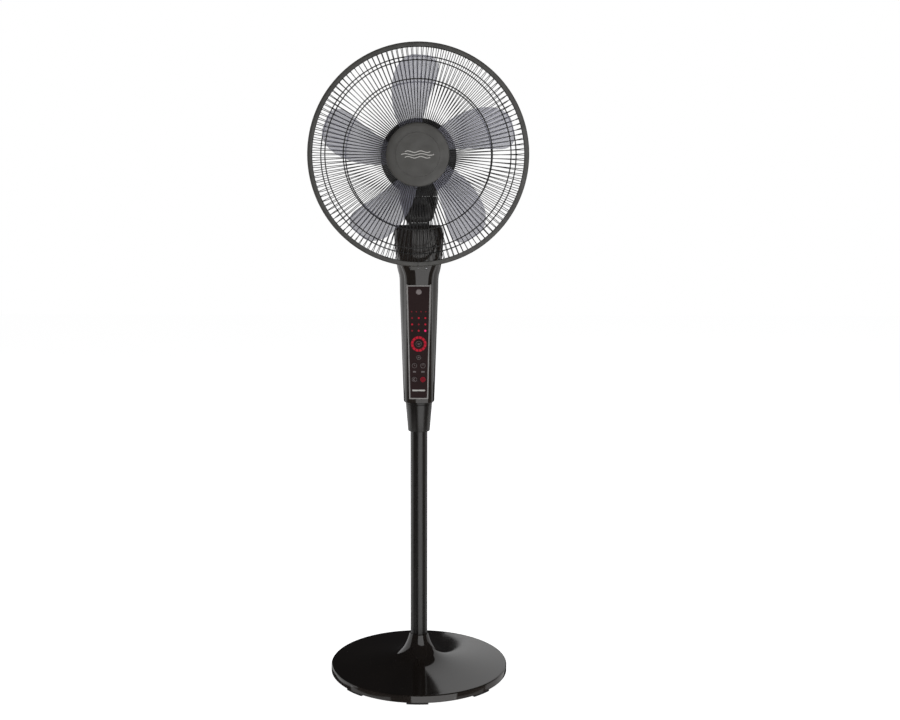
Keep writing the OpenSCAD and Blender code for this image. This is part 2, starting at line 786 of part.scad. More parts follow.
module motor_front_plate() color(soft_black) fan() difference() {
  union() {
    bar(cover_r - 0.5, plate_front - plate_t, plate_front);
    pipe(cover_r - 0.5, cover_r - 3, cover_front + split_gap, plate_front - plate_t + eps);
    bar(spigot_r, plate_front - eps, plate_front + 12);
    around(4, 45) translate([motor_screw_ring, 0, 0])
      bar(4, bell_face + bell_t + split_gap, plate_front - plate_t + eps, fn_small);
  }
  bar(bearing_r + 5, plate_front - 10, plate_front + 13);
  around(4, 45) translate([motor_screw_ring, 0, 0])
    bar(2.1, bell_face, plate_front - plate_t - 3, fn_small);
}

// --- Guard ---
function unit(v) = v / norm(v);
function left(v) = [-v[1], v[0]];
function path_normal(p, i) = unit(
  (i > 0 ? left(unit(p[i] - p[i - 1])) : [0, 0]) + (i < len(p) - 1 ? left(unit(p[i + 1] - p[i])) : [0, 0])
);
function path_side(p, d) = [for (i = [0 : len(p) - 1]) p[i] + d * path_normal(p, i)];
// The place along a path, seen from the axis, at a radius
function path_z(p, r, i = 0) = r <= p[i + 1][0] || i == len(p) - 2
  ? p[i][1] + (p[i + 1][1] - p[i][1]) * (r - p[i][0]) / (p[i + 1][0] - p[i][0])
  : path_z(p, r, i + 1);

module guard_wires(path) {
  one = path_side(path, wire_t / 2);
  other = path_side(path, -wire_t / 2);
  around(wire_n, 90) facing() translate([0, 0, -wire_t / 2]) linear_extrude(height = wire_t)
    polygon(concat(one, [for (i = [len(other) - 1 : -1 : 0]) other[i]]));
}

module ring_wire(r, z) rotate_extrude() translate([r - ring_wire_t / 2, z - ring_wire_t / 2])
  square(ring_wire_t);

module rear_guard() color(soft_black) fan() union() {
  guard_wires(rear_wire);
  pipe(60, spigot_r + slide_gap, plate_front + 0.1, plate_front + 3.4);
  for (r = [bend_r * 0.707, bend_r * 0.941]) ring_wire(r, path_z(rear_wire, r) + 1.5);
  ring_wire(edge_r, hoop_y - edge_y);
}

module front_guard() color(soft_black) fan() union() {
  guard_wires(front_wire);
  pipe(57, 45, badge_back - 3, badge_back - seat_gap);
  for (r = [bend_r * 0.7, bend_r * 0.877]) ring_wire(r, path_z(front_wire, r) - 1.5);
  ring_wire(edge_r, hoop_y + edge_y);
}

module guard_nut() color(soft_black) fan() difference() {
  bar(spigot_r + 14, plate_front + 3.5, plate_front + 11);
  bar(spigot_r + seat_gap, plate_front, plate_front + 12);
  around(8) translate([spigot_r + 15, 0, 0]) bar(4, plate_front, plate_front + 12, fn_small);
}

module guard_hoop() {
  back = hoop_back;
  front = hoop_front;
  color(graphite) fan() difference() {
    union() {
      rotate_extrude() polygon([
        [lip_r, back], [guard_r - 1, back], [guard_r, back + 1], [guard_r, front - 1], [guard_r - 1, front],
        [lip_r, front], [lip_r, front - hoop_wall], [guard_r - hoop_wall, front - hoop_wall],
        [guard_r - hoop_wall, back + hoop_wall], [lip_r, back + hoop_wall]
      ]);
      block([-tab_x, -guard_r - tab_drop, hoop_y - 3.5], [tab_x, -guard_r + 1, hoop_y + 3.5]);
    }
    block([-hoop_slit / 2, -guard_r - 20, back - 1], [hoop_slit / 2, -lip_r + 6, front + 1]);
    translate([0, -guard_r - tab_drop / 2, hoop_y]) axle(1.6, -20, 20);
  }
}

module hoop_screw() color(steel) fan() translate([0, -guard_r - tab_drop / 2, hoop_y]) union() {
  axle(1.5, -tab_x - 2.4, tab_x + eps);
  axle(2.9, tab_x, tab_x + 2);
}

module hoop_nut() color(steel) fan() translate([0, -guard_r - tab_drop / 2, hoop_y]) difference() {
  axle(3.1, -tab_x - 2.3, -tab_x, 6);
  axle(1.5 + seat_gap, -tab_x - 3, -tab_x + 1);
}

module guard_badge() color(graphite) fan() difference() {
  rotate_extrude() polygon([
    [0, badge_back], [badge_r - 0.5, badge_back], [badge_r, badge_back + 0.5], [badge_r, badge_back + 2.5],
    [badge_r - 1, badge_back + 4], [badge_r - 4, badge_back + 5], [0, badge_back + 5.5]
  ]);
  pipe(badge_r * 0.7 + 0.4, badge_r * 0.7 - 0.4, badge_back + 4.7, badge_back + 6);
}

// --- Rotor ---
module rotor_core() color([0.5, 0.5, 0.53]) fan() pipe(rotor_r, shaft_r, -core_len / 2, core_len / 2);

module motor_shaft() color(steel) fan() difference() {
  bar(shaft_r, -bell_face - bearing_len, 128, 48);
  translate([0, 0, 82]) axle(1.5, -20, 20);
}

module drive_pin() color(steel) fan() translate([0, 0, 82]) axle(1.5, -10, 10);

function blade_point(row, step, side) = let(
  s = step / blade_steps,
  a = row[1] + (row[2] - row[1]) * s,
  r = row[0] * blade_r,
  z = row[3] + (row[4] - row[3]) * s - blade_camber * 4 * s * (1 - s)
) [r * cos(a), r * sin(a), z + side * blade_t / 2];

module blade() {
  rows = len(blade_rows);
  cols = blade_steps + 1;
  front = [for (row = blade_rows, step = [0 : blade_steps]) blade_point(row, step, 1)];
  back = [for (row = blade_rows, step = [0 : blade_steps]) blade_point(row, step, -1)];
  count = rows * cols;
  cells = [for (i = [0 : rows - 2], j = [0 : cols - 2]) i * cols + j];
  edge = concat(
    [for (j = [0 : cols - 2]) j],
    [for (i = [0 : rows - 2]) i * cols + cols - 1],
    [for (j = [cols - 1 : -1 : 1]) (rows - 1) * cols + j],
    [for (i = [rows - 1 : -1 : 1]) i * cols]
  );
  skin = concat(
    [for (c = cells) each [[c, c + cols + 1, c + cols], [c, c + 1, c + cols + 1]]],
    [for (c = cells) each [[c + count, c + count + cols, c + count + cols + 1],
      [c + count, c + count + cols + 1, c + count + 1]]],
    [for (k = [0 : len(edge) - 1]) let(a = edge[k], b = edge[(k + 1) % len(edge)])
      each [[a, b + count, b], [a, a + count, b + count]]]
  );
  polyhedron(concat(front, back), skin);
}

module fan_blade() color(smoke) fan() difference() {
  union() {
    around(blade_n) blade();
    pipe(blade_hub_r, blade_hub_r - 2.5, 76, 115.5);
    bar(blade_hub_r, 113, 116);
    bar(10, 84, 114);
  }
  bar(shaft_r + seat_gap, 60, 120, 48);
  block([-11, -1.7, 79], [11, 1.7, 85]);
}

module blade_nut() color(soft_black) fan() difference() {
  translate([0, 0, 116.2]) cylinder(r1 = 20, r2 = 15, h = 16);
  bar(shaft_r + seat_gap, 100, 128.3, 48);
  around(8) translate([20.5, 0, 0]) bar(3, 110, 140, fn_small);
}

base_cover();
base_weight();
base_feet();
pole_bolt();
pole_washer();
pole_plug();
outer_pole();
height_collet();
height_collar();
inner_tube();
housing_front();
housing_rear();
panel_frame();
panel_lens();
light_ring();
indicator_lamps();
remote_receiver();
display_board();
tact_switches();
power_board();
run_capacitor();
cord_gland();
housing_screws();
neck_bracket();
panel_key(keys[0], soft_black);  // key_speed
panel_key(keys[1], soft_black);  // key_mode
panel_key(keys[2], soft_black);  // key_timer
panel_key(keys[3], soft_black);  // key_swing
panel_key(keys[4], soft_black);  // key_night
panel_key(keys[5], lamp_red);  // key_power
tilt_pin();
tilt_clip();
tilt_bracket();
neck_cover_front();
neck_cover_rear();
pivot_post();
swing_motor();
swing_crank();
swing_link();
motor_front_bell();
motor_rear_bell();
stator_core();
stator_windings();
bearing(1);  // front_bearing
bearing(-1);  // rear_bearing
motor_screws();
motor_cover();
motor_front_plate();
rear_guard();
guard_nut();
front_guard();
guard_hoop();
hoop_screw();
hoop_nut();
guard_badge();
rotor_core();
motor_shaft();
fan_blade();
drive_pin();
blade_nut();
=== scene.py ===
"""Pedestal fan: looks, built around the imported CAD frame. Metres, +Z up, the fan faces -Y."""
import json
from math import cos, exp, log, pi, radians, sin, sqrt

import bmesh
import bpy
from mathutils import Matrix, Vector


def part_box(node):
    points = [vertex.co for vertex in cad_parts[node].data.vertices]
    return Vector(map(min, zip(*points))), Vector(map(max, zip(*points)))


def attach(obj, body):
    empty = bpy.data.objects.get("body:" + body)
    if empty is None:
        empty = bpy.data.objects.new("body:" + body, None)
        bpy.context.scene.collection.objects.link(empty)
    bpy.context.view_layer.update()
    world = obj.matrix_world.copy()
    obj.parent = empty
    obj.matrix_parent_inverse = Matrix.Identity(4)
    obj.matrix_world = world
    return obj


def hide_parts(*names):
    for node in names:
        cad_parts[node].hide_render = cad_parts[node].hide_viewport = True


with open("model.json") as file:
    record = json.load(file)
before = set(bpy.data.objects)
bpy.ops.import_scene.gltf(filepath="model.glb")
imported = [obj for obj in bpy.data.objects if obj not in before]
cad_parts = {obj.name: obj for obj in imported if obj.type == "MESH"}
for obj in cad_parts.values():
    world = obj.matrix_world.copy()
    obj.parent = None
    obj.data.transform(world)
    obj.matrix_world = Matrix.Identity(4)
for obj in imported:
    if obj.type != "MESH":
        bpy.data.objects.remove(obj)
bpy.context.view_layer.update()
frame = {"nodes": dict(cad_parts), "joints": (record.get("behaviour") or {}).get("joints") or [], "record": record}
MM = 0.001
JOINTS = {joint["name"]: joint for joint in frame["joints"]}
HUB_Z = JOINTS["blade_spin"]["pos_m"][2]
TILT_Z = JOINTS["head_tilt"]["pos_m"][2]
COLLECTION = bpy.context.scene.collection


# ---------------------------------------------------------------- mesh tools
def mesh_piece(name, verts, faces, material, body, slot, sharp=35, replaces=()):
    """A mesh object from points and faces, with its material and body; the slot argument is not used."""
    mesh = bpy.data.meshes.new(name)
    mesh.from_pydata([tuple(v) for v in verts], [], faces)
    mesh.validate()
    return dress(bpy.data.objects.new(name, mesh), material, body, slot, sharp, replaces)


def dress(piece, material, body, slot, sharp=35, replaces=()):
    """Links a piece, smooths it, gives it its material, parents it to its body and hides the parts it replaces."""
    if piece.name not in COLLECTION.objects:
        COLLECTION.objects.link(piece)
    mesh = piece.data
    work = bmesh.new()
    work.from_mesh(mesh)
    bmesh.ops.remove_doubles(work, verts=work.verts, dist=1e-7)
    bmesh.ops.recalc_face_normals(work, faces=work.faces)
    work.to_mesh(mesh)
    work.free()
    mesh.shade_smooth()
    mesh.set_sharp_from_angle(angle=radians(sharp))
    if not mesh.materials:
        mesh.materials.append(material)
    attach(piece, body)
    if replaces:
        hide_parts(*replaces)
    return piece


def upright(x, y, z):
    return Vector((x, y, z))


def forward(x, y, z):
    """From the fan's own axes, X right, Y up and Z forward, to the row's."""
    return Vector((x, -z, HUB_Z + y))


def facing(x, y, z):
    """As forward, with heights above the floor."""
    return Vector((x, -z, y))


def revolve(profile, place=upright, steps=128, start=0.0, sweep=360.0):
    """Points and faces of a closed profile of (radius, height) turned about the axis."""
    count = len(profile)
    whole = sweep >= 360
    turns = steps if whole else steps + 1
    verts = []
    for i in range(turns):
        angle = radians(start + sweep * i / steps)
        verts += [place(r * cos(angle), r * sin(angle), z) for r, z in profile]
    faces = []
    for i in range(steps):
        a, b = i * count, ((i + 1) % turns) * count
        for j in range(count):
            k = (j + 1) % count
            faces.append((a + j, a + k, b + k, b + j))
    if not whole:
        faces.append(tuple(range(count)))
        faces.append(tuple(range(steps * count, turns * count))[::-1])
    return verts, faces


def rounded(points, radius, steps=4):
    """A closed outline with its corners rounded, each by at most its own room."""
    out = []
    count = len(points)
    for i in range(count):
        before, here, after = (Vector(points[(i + k) % count]) for k in (-1, 0, 1))
        to_before, to_after = before - here, after - here
        if to_before.length < 1e-9 or to_after.length < 1e-9:
            continue
        turn = to_before.angle(to_after)
        if turn > radians(165):
            out.append(tuple(here))
            continue
        room = min(to_before.length, to_after.length) * 0.45
        cut = min(radius / max(0.05, abs(1 / max(1e-6, abs(sin(turn / 2)))) * cos(turn / 2) + 0.3), room)
        p, q = here + to_before.normalized() * cut, here + to_after.normalized() * cut
        for k in range(steps + 1):
            t = k / steps
            out.append(tuple(p * (1 - t) ** 2 + here * 2 * t * (1 - t) + q * t * t))
    return out


def smooth_path(points, per_span=6):
    """A Catmull-Rom curve through the points."""
    path = []
    ends = [points[0]] + list(points) + [points[-1]]
    for i in range(1, len(ends) - 2):
        p0, p1, p2, p3 = (Vector(ends[i + k]) for k in (-1, 0, 1, 2))
        for k in range(per_span):
            t = k / per_span
            path.append(0.5 * (2 * p1 + (p2 - p0) * t + (2 * p0 - 5 * p1 + 4 * p2 - p3) * t * t
                               + (3 * p1 - p0 - 3 * p2 + p3) * t ** 3))
    path.append(Vector(points[-1]))
    return path


def tube(path, radius, sides=8, closed=False):
    """Points and faces of a round wire along a path in space."""
    verts, faces = [], []
    count = len(path)
    for i, p in enumerate(path):
        before = path[(i - 1) % count] if closed or i else path[0]
        after = path[(i + 1) % count] if closed or i < count - 1 else path[-1]
        along = (after - before).normalized()
        side = along.orthogonal() if i == 0 else side - along * side.dot(along)
        side.normalize()
        up = along.cross(side)
        verts += [p + radius * (side * cos(2 * pi * k / sides) + up * sin(2 * pi * k / sides))
                  for k in range(sides)]
    rings = count if closed else count - 1
    for i in range(rings):
        a, b = i * sides, ((i + 1) % count) * sides
        faces += [(a + k, a + (k + 1) % sides, b + (k + 1) % sides, b + k) for k in range(sides)]
    if not closed:
        faces.append(tuple(range(sides))[::-1])
        faces.append(tuple(range((count - 1) * sides, count * sides)))
    return verts, faces


def joined(parts):
    """Several (points, faces) in one."""
    verts, faces = [], []
    for part_verts, part_faces in parts:
        base = len(verts)
        verts += part_verts
        faces += [tuple(base + i for i in face) for face in part_faces]
    return verts, faces


def prism(outline, z0, z1, place=facing):
    """A flat outline between two depths."""
    count = len(outline)
    verts = [place(x, y, z0) for x, y in outline] + [place(x, y, z1) for x, y in outline]
    faces = [tuple(range(count))[::-1], tuple(range(count, 2 * count))]
    faces += [(i, (i + 1) % count, count + (i + 1) % count, count + i) for i in range(count)]
    return verts, faces


def disc_outline(x, y, radius, steps=32):
    return [(x + radius * cos(2 * pi * i / steps), y + radius * sin(2 * pi * i / steps)) for i in range(steps)]


def spun(outline, angle):
    """An outline turned about the origin by an angle in degrees."""
    c, s = cos(radians(angle)), sin(radians(angle))
    return [(x * c - y * s, x * s + y * c) for x, y in outline]


def ring_profile(inner, outer, low, high):
    return [(inner, low), (outer, low), (outer, high), (inner, high)]


def scratch(name, verts, faces):
    """A helper mesh object that is removed after use."""
    mesh = bpy.data.meshes.new(name)
    mesh.from_pydata([tuple(v) for v in verts], [], faces)
    piece = bpy.data.objects.new(name, mesh)
    COLLECTION.objects.link(piece)
    work = bmesh.new()
    work.from_mesh(mesh)
    bmesh.ops.recalc_face_normals(work, faces=work.faces)
    work.to_mesh(mesh)
    work.free()
    return piece


def cut(piece, tools, operation="DIFFERENCE"):
    """Applies boolean cuts by helper objects, which are then removed."""
    for tool in tools:
        modifier = piece.modifiers.new("cut", "BOOLEAN")
        modifier.operation = operation
        modifier.solver = "EXACT"
        modifier.object = tool
    apply_modifiers(piece)
    for tool in tools:
        bpy.data.objects.remove(tool)
    return piece


def apply_modifiers(piece):
    graph = bpy.context.evaluated_depsgraph_get()
    mesh = bpy.data.meshes.new_from_object(piece.evaluated_get(graph))
    piece.modifiers.clear()
    piece.data = mesh


# ---------------------------------------------------------------- materials
def shader(name):
    material = bpy.data.materials.new(name)
    material.use_nodes = True
    tree = material.node_tree
    return material, tree, tree.nodes["Principled BSDF"]


def noise(tree, scale, detail=4.0, stretch=(1, 1, 1)):
    """Noise in the row's own coordinates, stretched along the axes."""
    place = tree.nodes.new("ShaderNodeTexCoord")
    mapping = tree.nodes.new("ShaderNodeMapping")
    mapping.inputs["Scale"].default_value = stretch
    texture = tree.nodes.new("ShaderNodeTexNoise")
    texture.inputs["Scale"].default_value = scale
    texture.inputs["Detail"].default_value = detail
    tree.links.new(place.outputs["Object"], mapping.inputs["Vector"])
    tree.links.new(mapping.outputs["Vector"], texture.inputs["Vector"])
    return texture.outputs["Fac"]


def ramp(tree, source, low, high, start=0.35, end=0.65):
    node = tree.nodes.new("ShaderNodeValToRGB")
    node.color_ramp.elements[0].position = start
    node.color_ramp.elements[1].position = end
    node.color_ramp.elements[0].color = (*low, 1)
    node.color_ramp.elements[1].color = (*high, 1)
    tree.links.new(source, node.inputs["Fac"])
    return node.outputs["Color"]


def spread(tree, source, low, high):
    node = tree.nodes.new("ShaderNodeMapRange")
    node.inputs["From Min"].default_value = 0.3
    node.inputs["From Max"].default_value = 0.7
    node.inputs["To Min"].default_value = low
    node.inputs["To Max"].default_value = high
    tree.links.new(source, node.inputs["Value"])
    return node.outputs["Result"]


def bump(tree, source, strength, distance):
    node = tree.nodes.new("ShaderNodeBump")
    node.inputs["Strength"].default_value = strength
    node.inputs["Distance"].default_value = distance
    tree.links.new(source, node.inputs["Height"])
    return node.outputs["Normal"]


def moulded(name, colour, rough, grain=900, grain_depth=0.02, vary=0.15, coat=0.0, metallic=0.0,
            stretch=(1, 1, 1), specular=0.5, alpha=1.0):
    """A moulded, painted or machined surface: slow colour drift, worn gloss and a fine grain."""
    material, tree, node = shader(name)
    drift = noise(tree, 9, 3)
    low = [c * (1 - vary) for c in colour]
    high = [min(1, c * (1 + vary)) for c in colour]
    tree.links.new(ramp(tree, drift, low, high), node.inputs["Base Color"])
    wear = noise(tree, 60, 5, stretch)
    tree.links.new(spread(tree, wear, rough * 0.8, rough * 1.25), node.inputs["Roughness"])
    fine = noise(tree, grain, 2, stretch)
    tree.links.new(bump(tree, fine, grain_depth, 0.0004), node.inputs["Normal"])
    node.inputs["Metallic"].default_value = metallic
    node.inputs["Coat Weight"].default_value = coat
    node.inputs["Coat Roughness"].default_value = 0.04
    node.inputs["Specular IOR Level"].default_value = specular
    node.inputs["Alpha"].default_value = alpha
    return material


def glowing(name, colour, power, grain=1500):
    """A lit lamp behind smoked plastic: brighter and paler grains in an even colour."""
    material, tree, node = shader(name)
    speck = noise(tree, grain, 2)
    low = [c * 0.75 for c in colour]
    high = [min(1, c * 1.2) for c in colour]
    colour_out = ramp(tree, speck, low, high)
    shade = ramp(tree, speck, [c * 0.1 for c in colour], [c * 0.2 for c in colour])
    tree.links.new(shade, node.inputs["Base Color"])
    tree.links.new(colour_out, node.inputs["Emission Color"])
    node.inputs["Emission Strength"].default_value = power
    node.inputs["Roughness"].default_value = 0.35
    node.inputs["Specular IOR Level"].default_value = 0.08
    return material


GLOSS_BLACK = (0.018, 0.0145, 0.0125)
MATERIALS = {
    "gloss_black": moulded("gloss_black", GLOSS_BLACK, 0.07, 400, 0.01),
    "satin_black": moulded("satin_black", (0.022, 0.021, 0.020), 0.3, 700, 0.05),
    "pole_black": moulded("pole_black", (0.011, 0.0095, 0.0085), 0.27, 500, 0.03, stretch=(1, 1, 0.2)),
    "black_plastic": moulded("black_plastic", (0.014, 0.0135, 0.013), 0.42, 1200, 0.12),
    "rubber": moulded("rubber", (0.016, 0.016, 0.016), 0.75, 1600, 0.25),
    "weight_iron": moulded("weight_iron", (0.07, 0.07, 0.075), 0.7, 300, 0.5, 0.3),
    "steel": moulded("steel", (0.55, 0.55, 0.57), 0.3, 900, 0.05, metallic=1.0),
    "chrome_tube": moulded("chrome_tube", (0.62, 0.62, 0.64), 0.12, 700, 0.02, 0.05, metallic=1.0,
                           stretch=(1, 1, 0.05)),
    "frame_silver": moulded("frame_silver", (0.21, 0.20, 0.195), 0.34, 1500, 0.05, metallic=0.3),
    "lens": moulded("lens", (0.019, 0.0085, 0.0085), 0.2, 300, 0.005, specular=0.06),
    "lamp_red": moulded("lamp_red_unlit", (0.10, 0.006, 0.012), 0.35, 900, 0.03, specular=0.08),
    "receiver": moulded("receiver", (0.16, 0.13, 0.13), 0.25, 700, 0.03),
    "board": moulded("board", (0.02, 0.11, 0.05), 0.4, 1500, 0.1),
    "key_black": moulded("key_black", (0.022, 0.010, 0.010), 0.3, 700, 0.02, specular=0.06),
    "motor_alloy": moulded("motor_alloy", (0.5, 0.5, 0.5), 0.45, 700, 0.2, metallic=1.0),
    "core_steel": moulded("core_steel", (0.2, 0.2, 0.22), 0.5, 600, 0.2, metallic=0.9, stretch=(1, 12, 1)),
    "copper": moulded("copper", (0.6, 0.2, 0.07), 0.35, 900, 0.4, metallic=0.9, stretch=(1, 6, 1)),
    "bronze": moulded("bronze", (0.5, 0.33, 0.14), 0.45, 1200, 0.1, metallic=0.9),
    "guard_wire": moulded("guard_wire", (0.018, 0.0175, 0.017), 0.33, 1500, 0.05),
    "graphite": moulded("graphite", (0.045, 0.043, 0.039), 0.36, 900, 0.06),
    "smoke_blade": moulded("smoke_blade", (0.36, 0.36, 0.43), 0.16, 300, 0.02, alpha=0.5),
}
# A paler, less clear colour for the blade rims: a painted glint, standing in for light caught along the edges.
BLADE_RIM_GLINT = moulded("blade_rim_glint", (0.45, 0.46, 0.52), 0.2, 600, 0.02, alpha=0.85)
LIT_RED = glowing("lit_red", (0.50, 0.010, 0.030), 0.72)
LIT_DIM = glowing("lit_dim", (0.22, 0.012, 0.022), 0.72)
LIT_BRIGHT = glowing("lit_bright", (0.85, 0.02, 0.15), 1.0)
PRINT_GREY = moulded("print_grey", (0.16, 0.14, 0.14), 0.5, 1500, 0.05)
PRINT_LIGHT = moulded("print_light", (0.42, 0.41, 0.39), 0.4, 1200, 0.05)


def dress_cad_nodes():
    """Gives each carried-over CAD node the material of its slot."""
    slots = {part["node"]: part["material_slot"] for part in frame["record"]["subparts"]}
    for name, piece in frame["nodes"].items():
        piece.data.materials.clear()
        piece.data.materials.append(MATERIALS[slots[name]])


# ---------------------------------------------------------------- base
def base_cover():
    low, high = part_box("base_cover")
    outer_r, foot, top = high.x, low.z, high.z
    pole_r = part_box("outer_pole")[1].x
    neck_r = pole_r + 2 * MM
    rim_top = foot + 15.3 * MM
    wall = 2.5 * MM
    edge = 3 * MM
    flare, reach = 12 * MM, 11 * MM
    swell = top - rim_top - flare * log(outer_r / neck_r)
    steps = 90
    radii = [neck_r * exp(log((outer_r - edge) / neck_r) * i / steps) for i in range(steps + 1)]
    outer = [(r, rim_top + flare * log(outer_r / r) + swell * exp((neck_r - r) / reach)) for r in radii]
    corner_z = outer[-1][1] - edge
    rim = [(outer_r - edge + edge * cos(radians(a)), corner_z + edge * sin(radians(a))) for a in range(80, -1, -16)]
    foot_line = [(outer_r, foot + 1 * MM), (outer_r - 1 * MM, foot), (outer_r - 26 * MM, foot),
                 (outer_r - 26 * MM, foot + wall), (outer_r - wall, foot + wall), (outer_r - wall, corner_z)]
    inner = []
    for r, z in outer[-2:2:-2]:
        steep = flare / r + swell / reach * exp((neck_r - r) / reach)
        slope = sqrt(steep ** 2 + 1)
        inner.append((max(pole_r + 0.4 * MM, r - wall * steep / slope), z - wall / slope))
    bore = pole_r + 0.4 * MM
    collar = [(bore, top - 14 * MM), (bore, top - 0.6 * MM), (bore + 0.6 * MM, top),
              (neck_r - 0.5 * MM, top)]
    profile = outer[1:] + rim + foot_line + inner + collar
    verts, faces = revolve(profile, steps=192)
    mesh_piece("base_shell", verts, faces, MATERIALS["gloss_black"], "stand", "gloss_black", 30, ["base_cover"])


def pole_and_collar():
    """The collar as one smooth turned cone with soft edges and a seam line under its lip."""
    low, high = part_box("height_collar")
    tube_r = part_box("inner_tube")[1].x
    pole_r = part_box("outer_pole")[1].x
    foot_r = pole_r + 4.7 * MM
    profile = rounded([
        (pole_r + 0.4 * MM, low.z), (foot_r, low.z), (high.x - 0.6 * MM, high.z - 5 * MM),
        (high.x - 1.1 * MM, high.z - 4.4 * MM), (high.x - 1.0 * MM, high.z - 3.8 * MM),
        (high.x, high.z - 3.4 * MM), (high.x, high.z), (tube_r + 0.4 * MM, high.z),
        (tube_r + 0.4 * MM, high.z - 3 * MM), (pole_r + 0.4 * MM, high.z - 6 * MM)
    ], 1.0 * MM, 3)
    verts, faces = revolve(profile, steps=128)
    mesh_piece("lock_collar", verts, faces, MATERIALS["pole_black"], "lock_collar", "gloss_black", 30,
               ["height_collar"])


# ---------------------------------------------------------------- guards
def guard_sizes():
    """Outer radius, middle, width, lip radius and bend radius of the guards, from the hoop."""
    low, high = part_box("guard_hoop")
    radius = high.x - 0.1 * MM
    middle = -(low.y + high.y) / 2
    width = high.y - low.y
    lip_r = radius - 9.2 * MM
    bend = lip_r - 2.1 * MM
    return radius, middle, width, lip_r, bend


def wire_guard(name, path, count, wire, ring_radii, ring_side, hub_parts, replaced, turn=0.0):
    """Radial wires on a curved path, with their ring wires and the plate in the middle."""
    curve = smooth_path([(r, z) for r, z in path], 5)
    parts = []
    for i in range(count):
        angle = 2 * pi * (i + turn) / count + pi / 2
        points = [forward(p[0] * cos(angle), p[0] * sin(angle), p[1]) for p in curve]
        parts.append(tube(points, wire, 6))
    for radius, thick in ring_radii:
        near = min(range(len(curve) - 1), key=lambda k: abs(curve[k][0] - radius))
        z = curve[near][1] + ring_side * (wire + thick) * 0.95
        ring = [forward(radius * cos(2 * pi * k / 180), radius * sin(2 * pi * k / 180), z) for k in range(180)]
        parts.append(tube(ring, thick, 8, closed=True))
    parts += hub_parts
    verts, faces = joined(parts)
    return mesh_piece(name, verts, faces, MATERIALS["guard_wire"], "head", "guard_wire", 50, [replaced])


def guards():
    """The rear and front wire guards, with the plates in their middles."""
    radius, middle, width, _, bend = guard_sizes()
    wire, ring = 0.75 * MM, 1.15 * MM
    edge_r = radius - 4 * MM
    back, front = middle - width / 2 + 1.6 * MM, middle + width / 2 - 1.6 * MM
    plate = -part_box("rear_guard")[1].y
    rear_path = [(52 * MM, plate + 2.2 * MM), (100 * MM, plate + 3 * MM), (bend * 0.73, plate + 6 * MM),
                 (bend * 0.89, plate + 13.9 * MM), (bend * 0.974, plate + 27.9 * MM), (bend, back),
                 (edge_r - 1.2 * MM, middle - 3.4 * MM)]
    plate_ring = revolve(rounded(ring_profile(31.4 * MM, 60 * MM, plate + 0.1 * MM, plate + 3.2 * MM), 0.8 * MM, 2),
                         forward, 96)
    wire_guard("rear_guard_wires", rear_path, 132, wire,
               [(bend * 0.707, ring), (bend * 0.941, ring), (edge_r, 1.4 * MM)], 1, [plate_ring], "rear_guard", 0.37)
    badge = -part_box("guard_badge")[1].y
    front_path = [(50 * MM, badge - 1.6 * MM), (bend * 0.45, badge - 3.2 * MM), (bend * 0.63, badge - 6.5 * MM),
                  (bend * 0.84, badge - 15.5 * MM), (bend * 0.955, badge - 28 * MM), (bend, front),
                  (edge_r - 1.2 * MM, middle + 3.4 * MM)]
    hub_ring = revolve(rounded(ring_profile(45 * MM, 57 * MM, badge - 3 * MM, badge - 0.2 * MM), 0.8 * MM, 2),
                       forward, 96)
    wire_guard("front_guard_wires", front_path, 128, wire,
               [(bend * 0.7, ring), (bend * 0.877, ring), (edge_r, 1.4 * MM)], -1, [hub_ring], "front_guard")


def hoop():
    """The channel that clamps the two guards, split at the bottom between two screw tabs."""
    radius, middle, width, lip_r, _ = guard_sizes()
    back, front = middle - width / 2, middle + width / 2
    wall = 1.6 * MM
    slit = degrees_of(0.6 * MM / radius)
    profile = rounded([
        (lip_r, back), (radius - 1 * MM, back), (radius, back + 2.6 * MM), (radius, front - 2.6 * MM),
        (radius - 1.2 * MM, front), (lip_r, front), (lip_r, front - wall), (radius - wall, front - wall),
        (radius - wall, back + wall), (lip_r, back + wall)
    ], 1.1 * MM, 4)
    parts = [revolve(profile, forward, 220, -90 + slit, 360 - 2 * slit)]
    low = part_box("guard_hoop")[0].z - HUB_Z
    for side in (-1, 1):
        tab = rounded([(side * 0.6 * MM, low), (side * 15 * MM, low), (side * 15 * MM, low + 7.5 * MM),
                       (side * 0.6 * MM, low + 7.5 * MM)], 1.6 * MM, 3)
        parts.append(prism(tab, middle - 3.4 * MM, middle + 3.4 * MM, forward))
    verts, faces = joined(parts)
    mesh_piece("clamp_hoop", verts, faces, MATERIALS["graphite"], "head", "graphite", 32, ["guard_hoop"])


def degrees_of(angle):
    return angle * 180 / pi


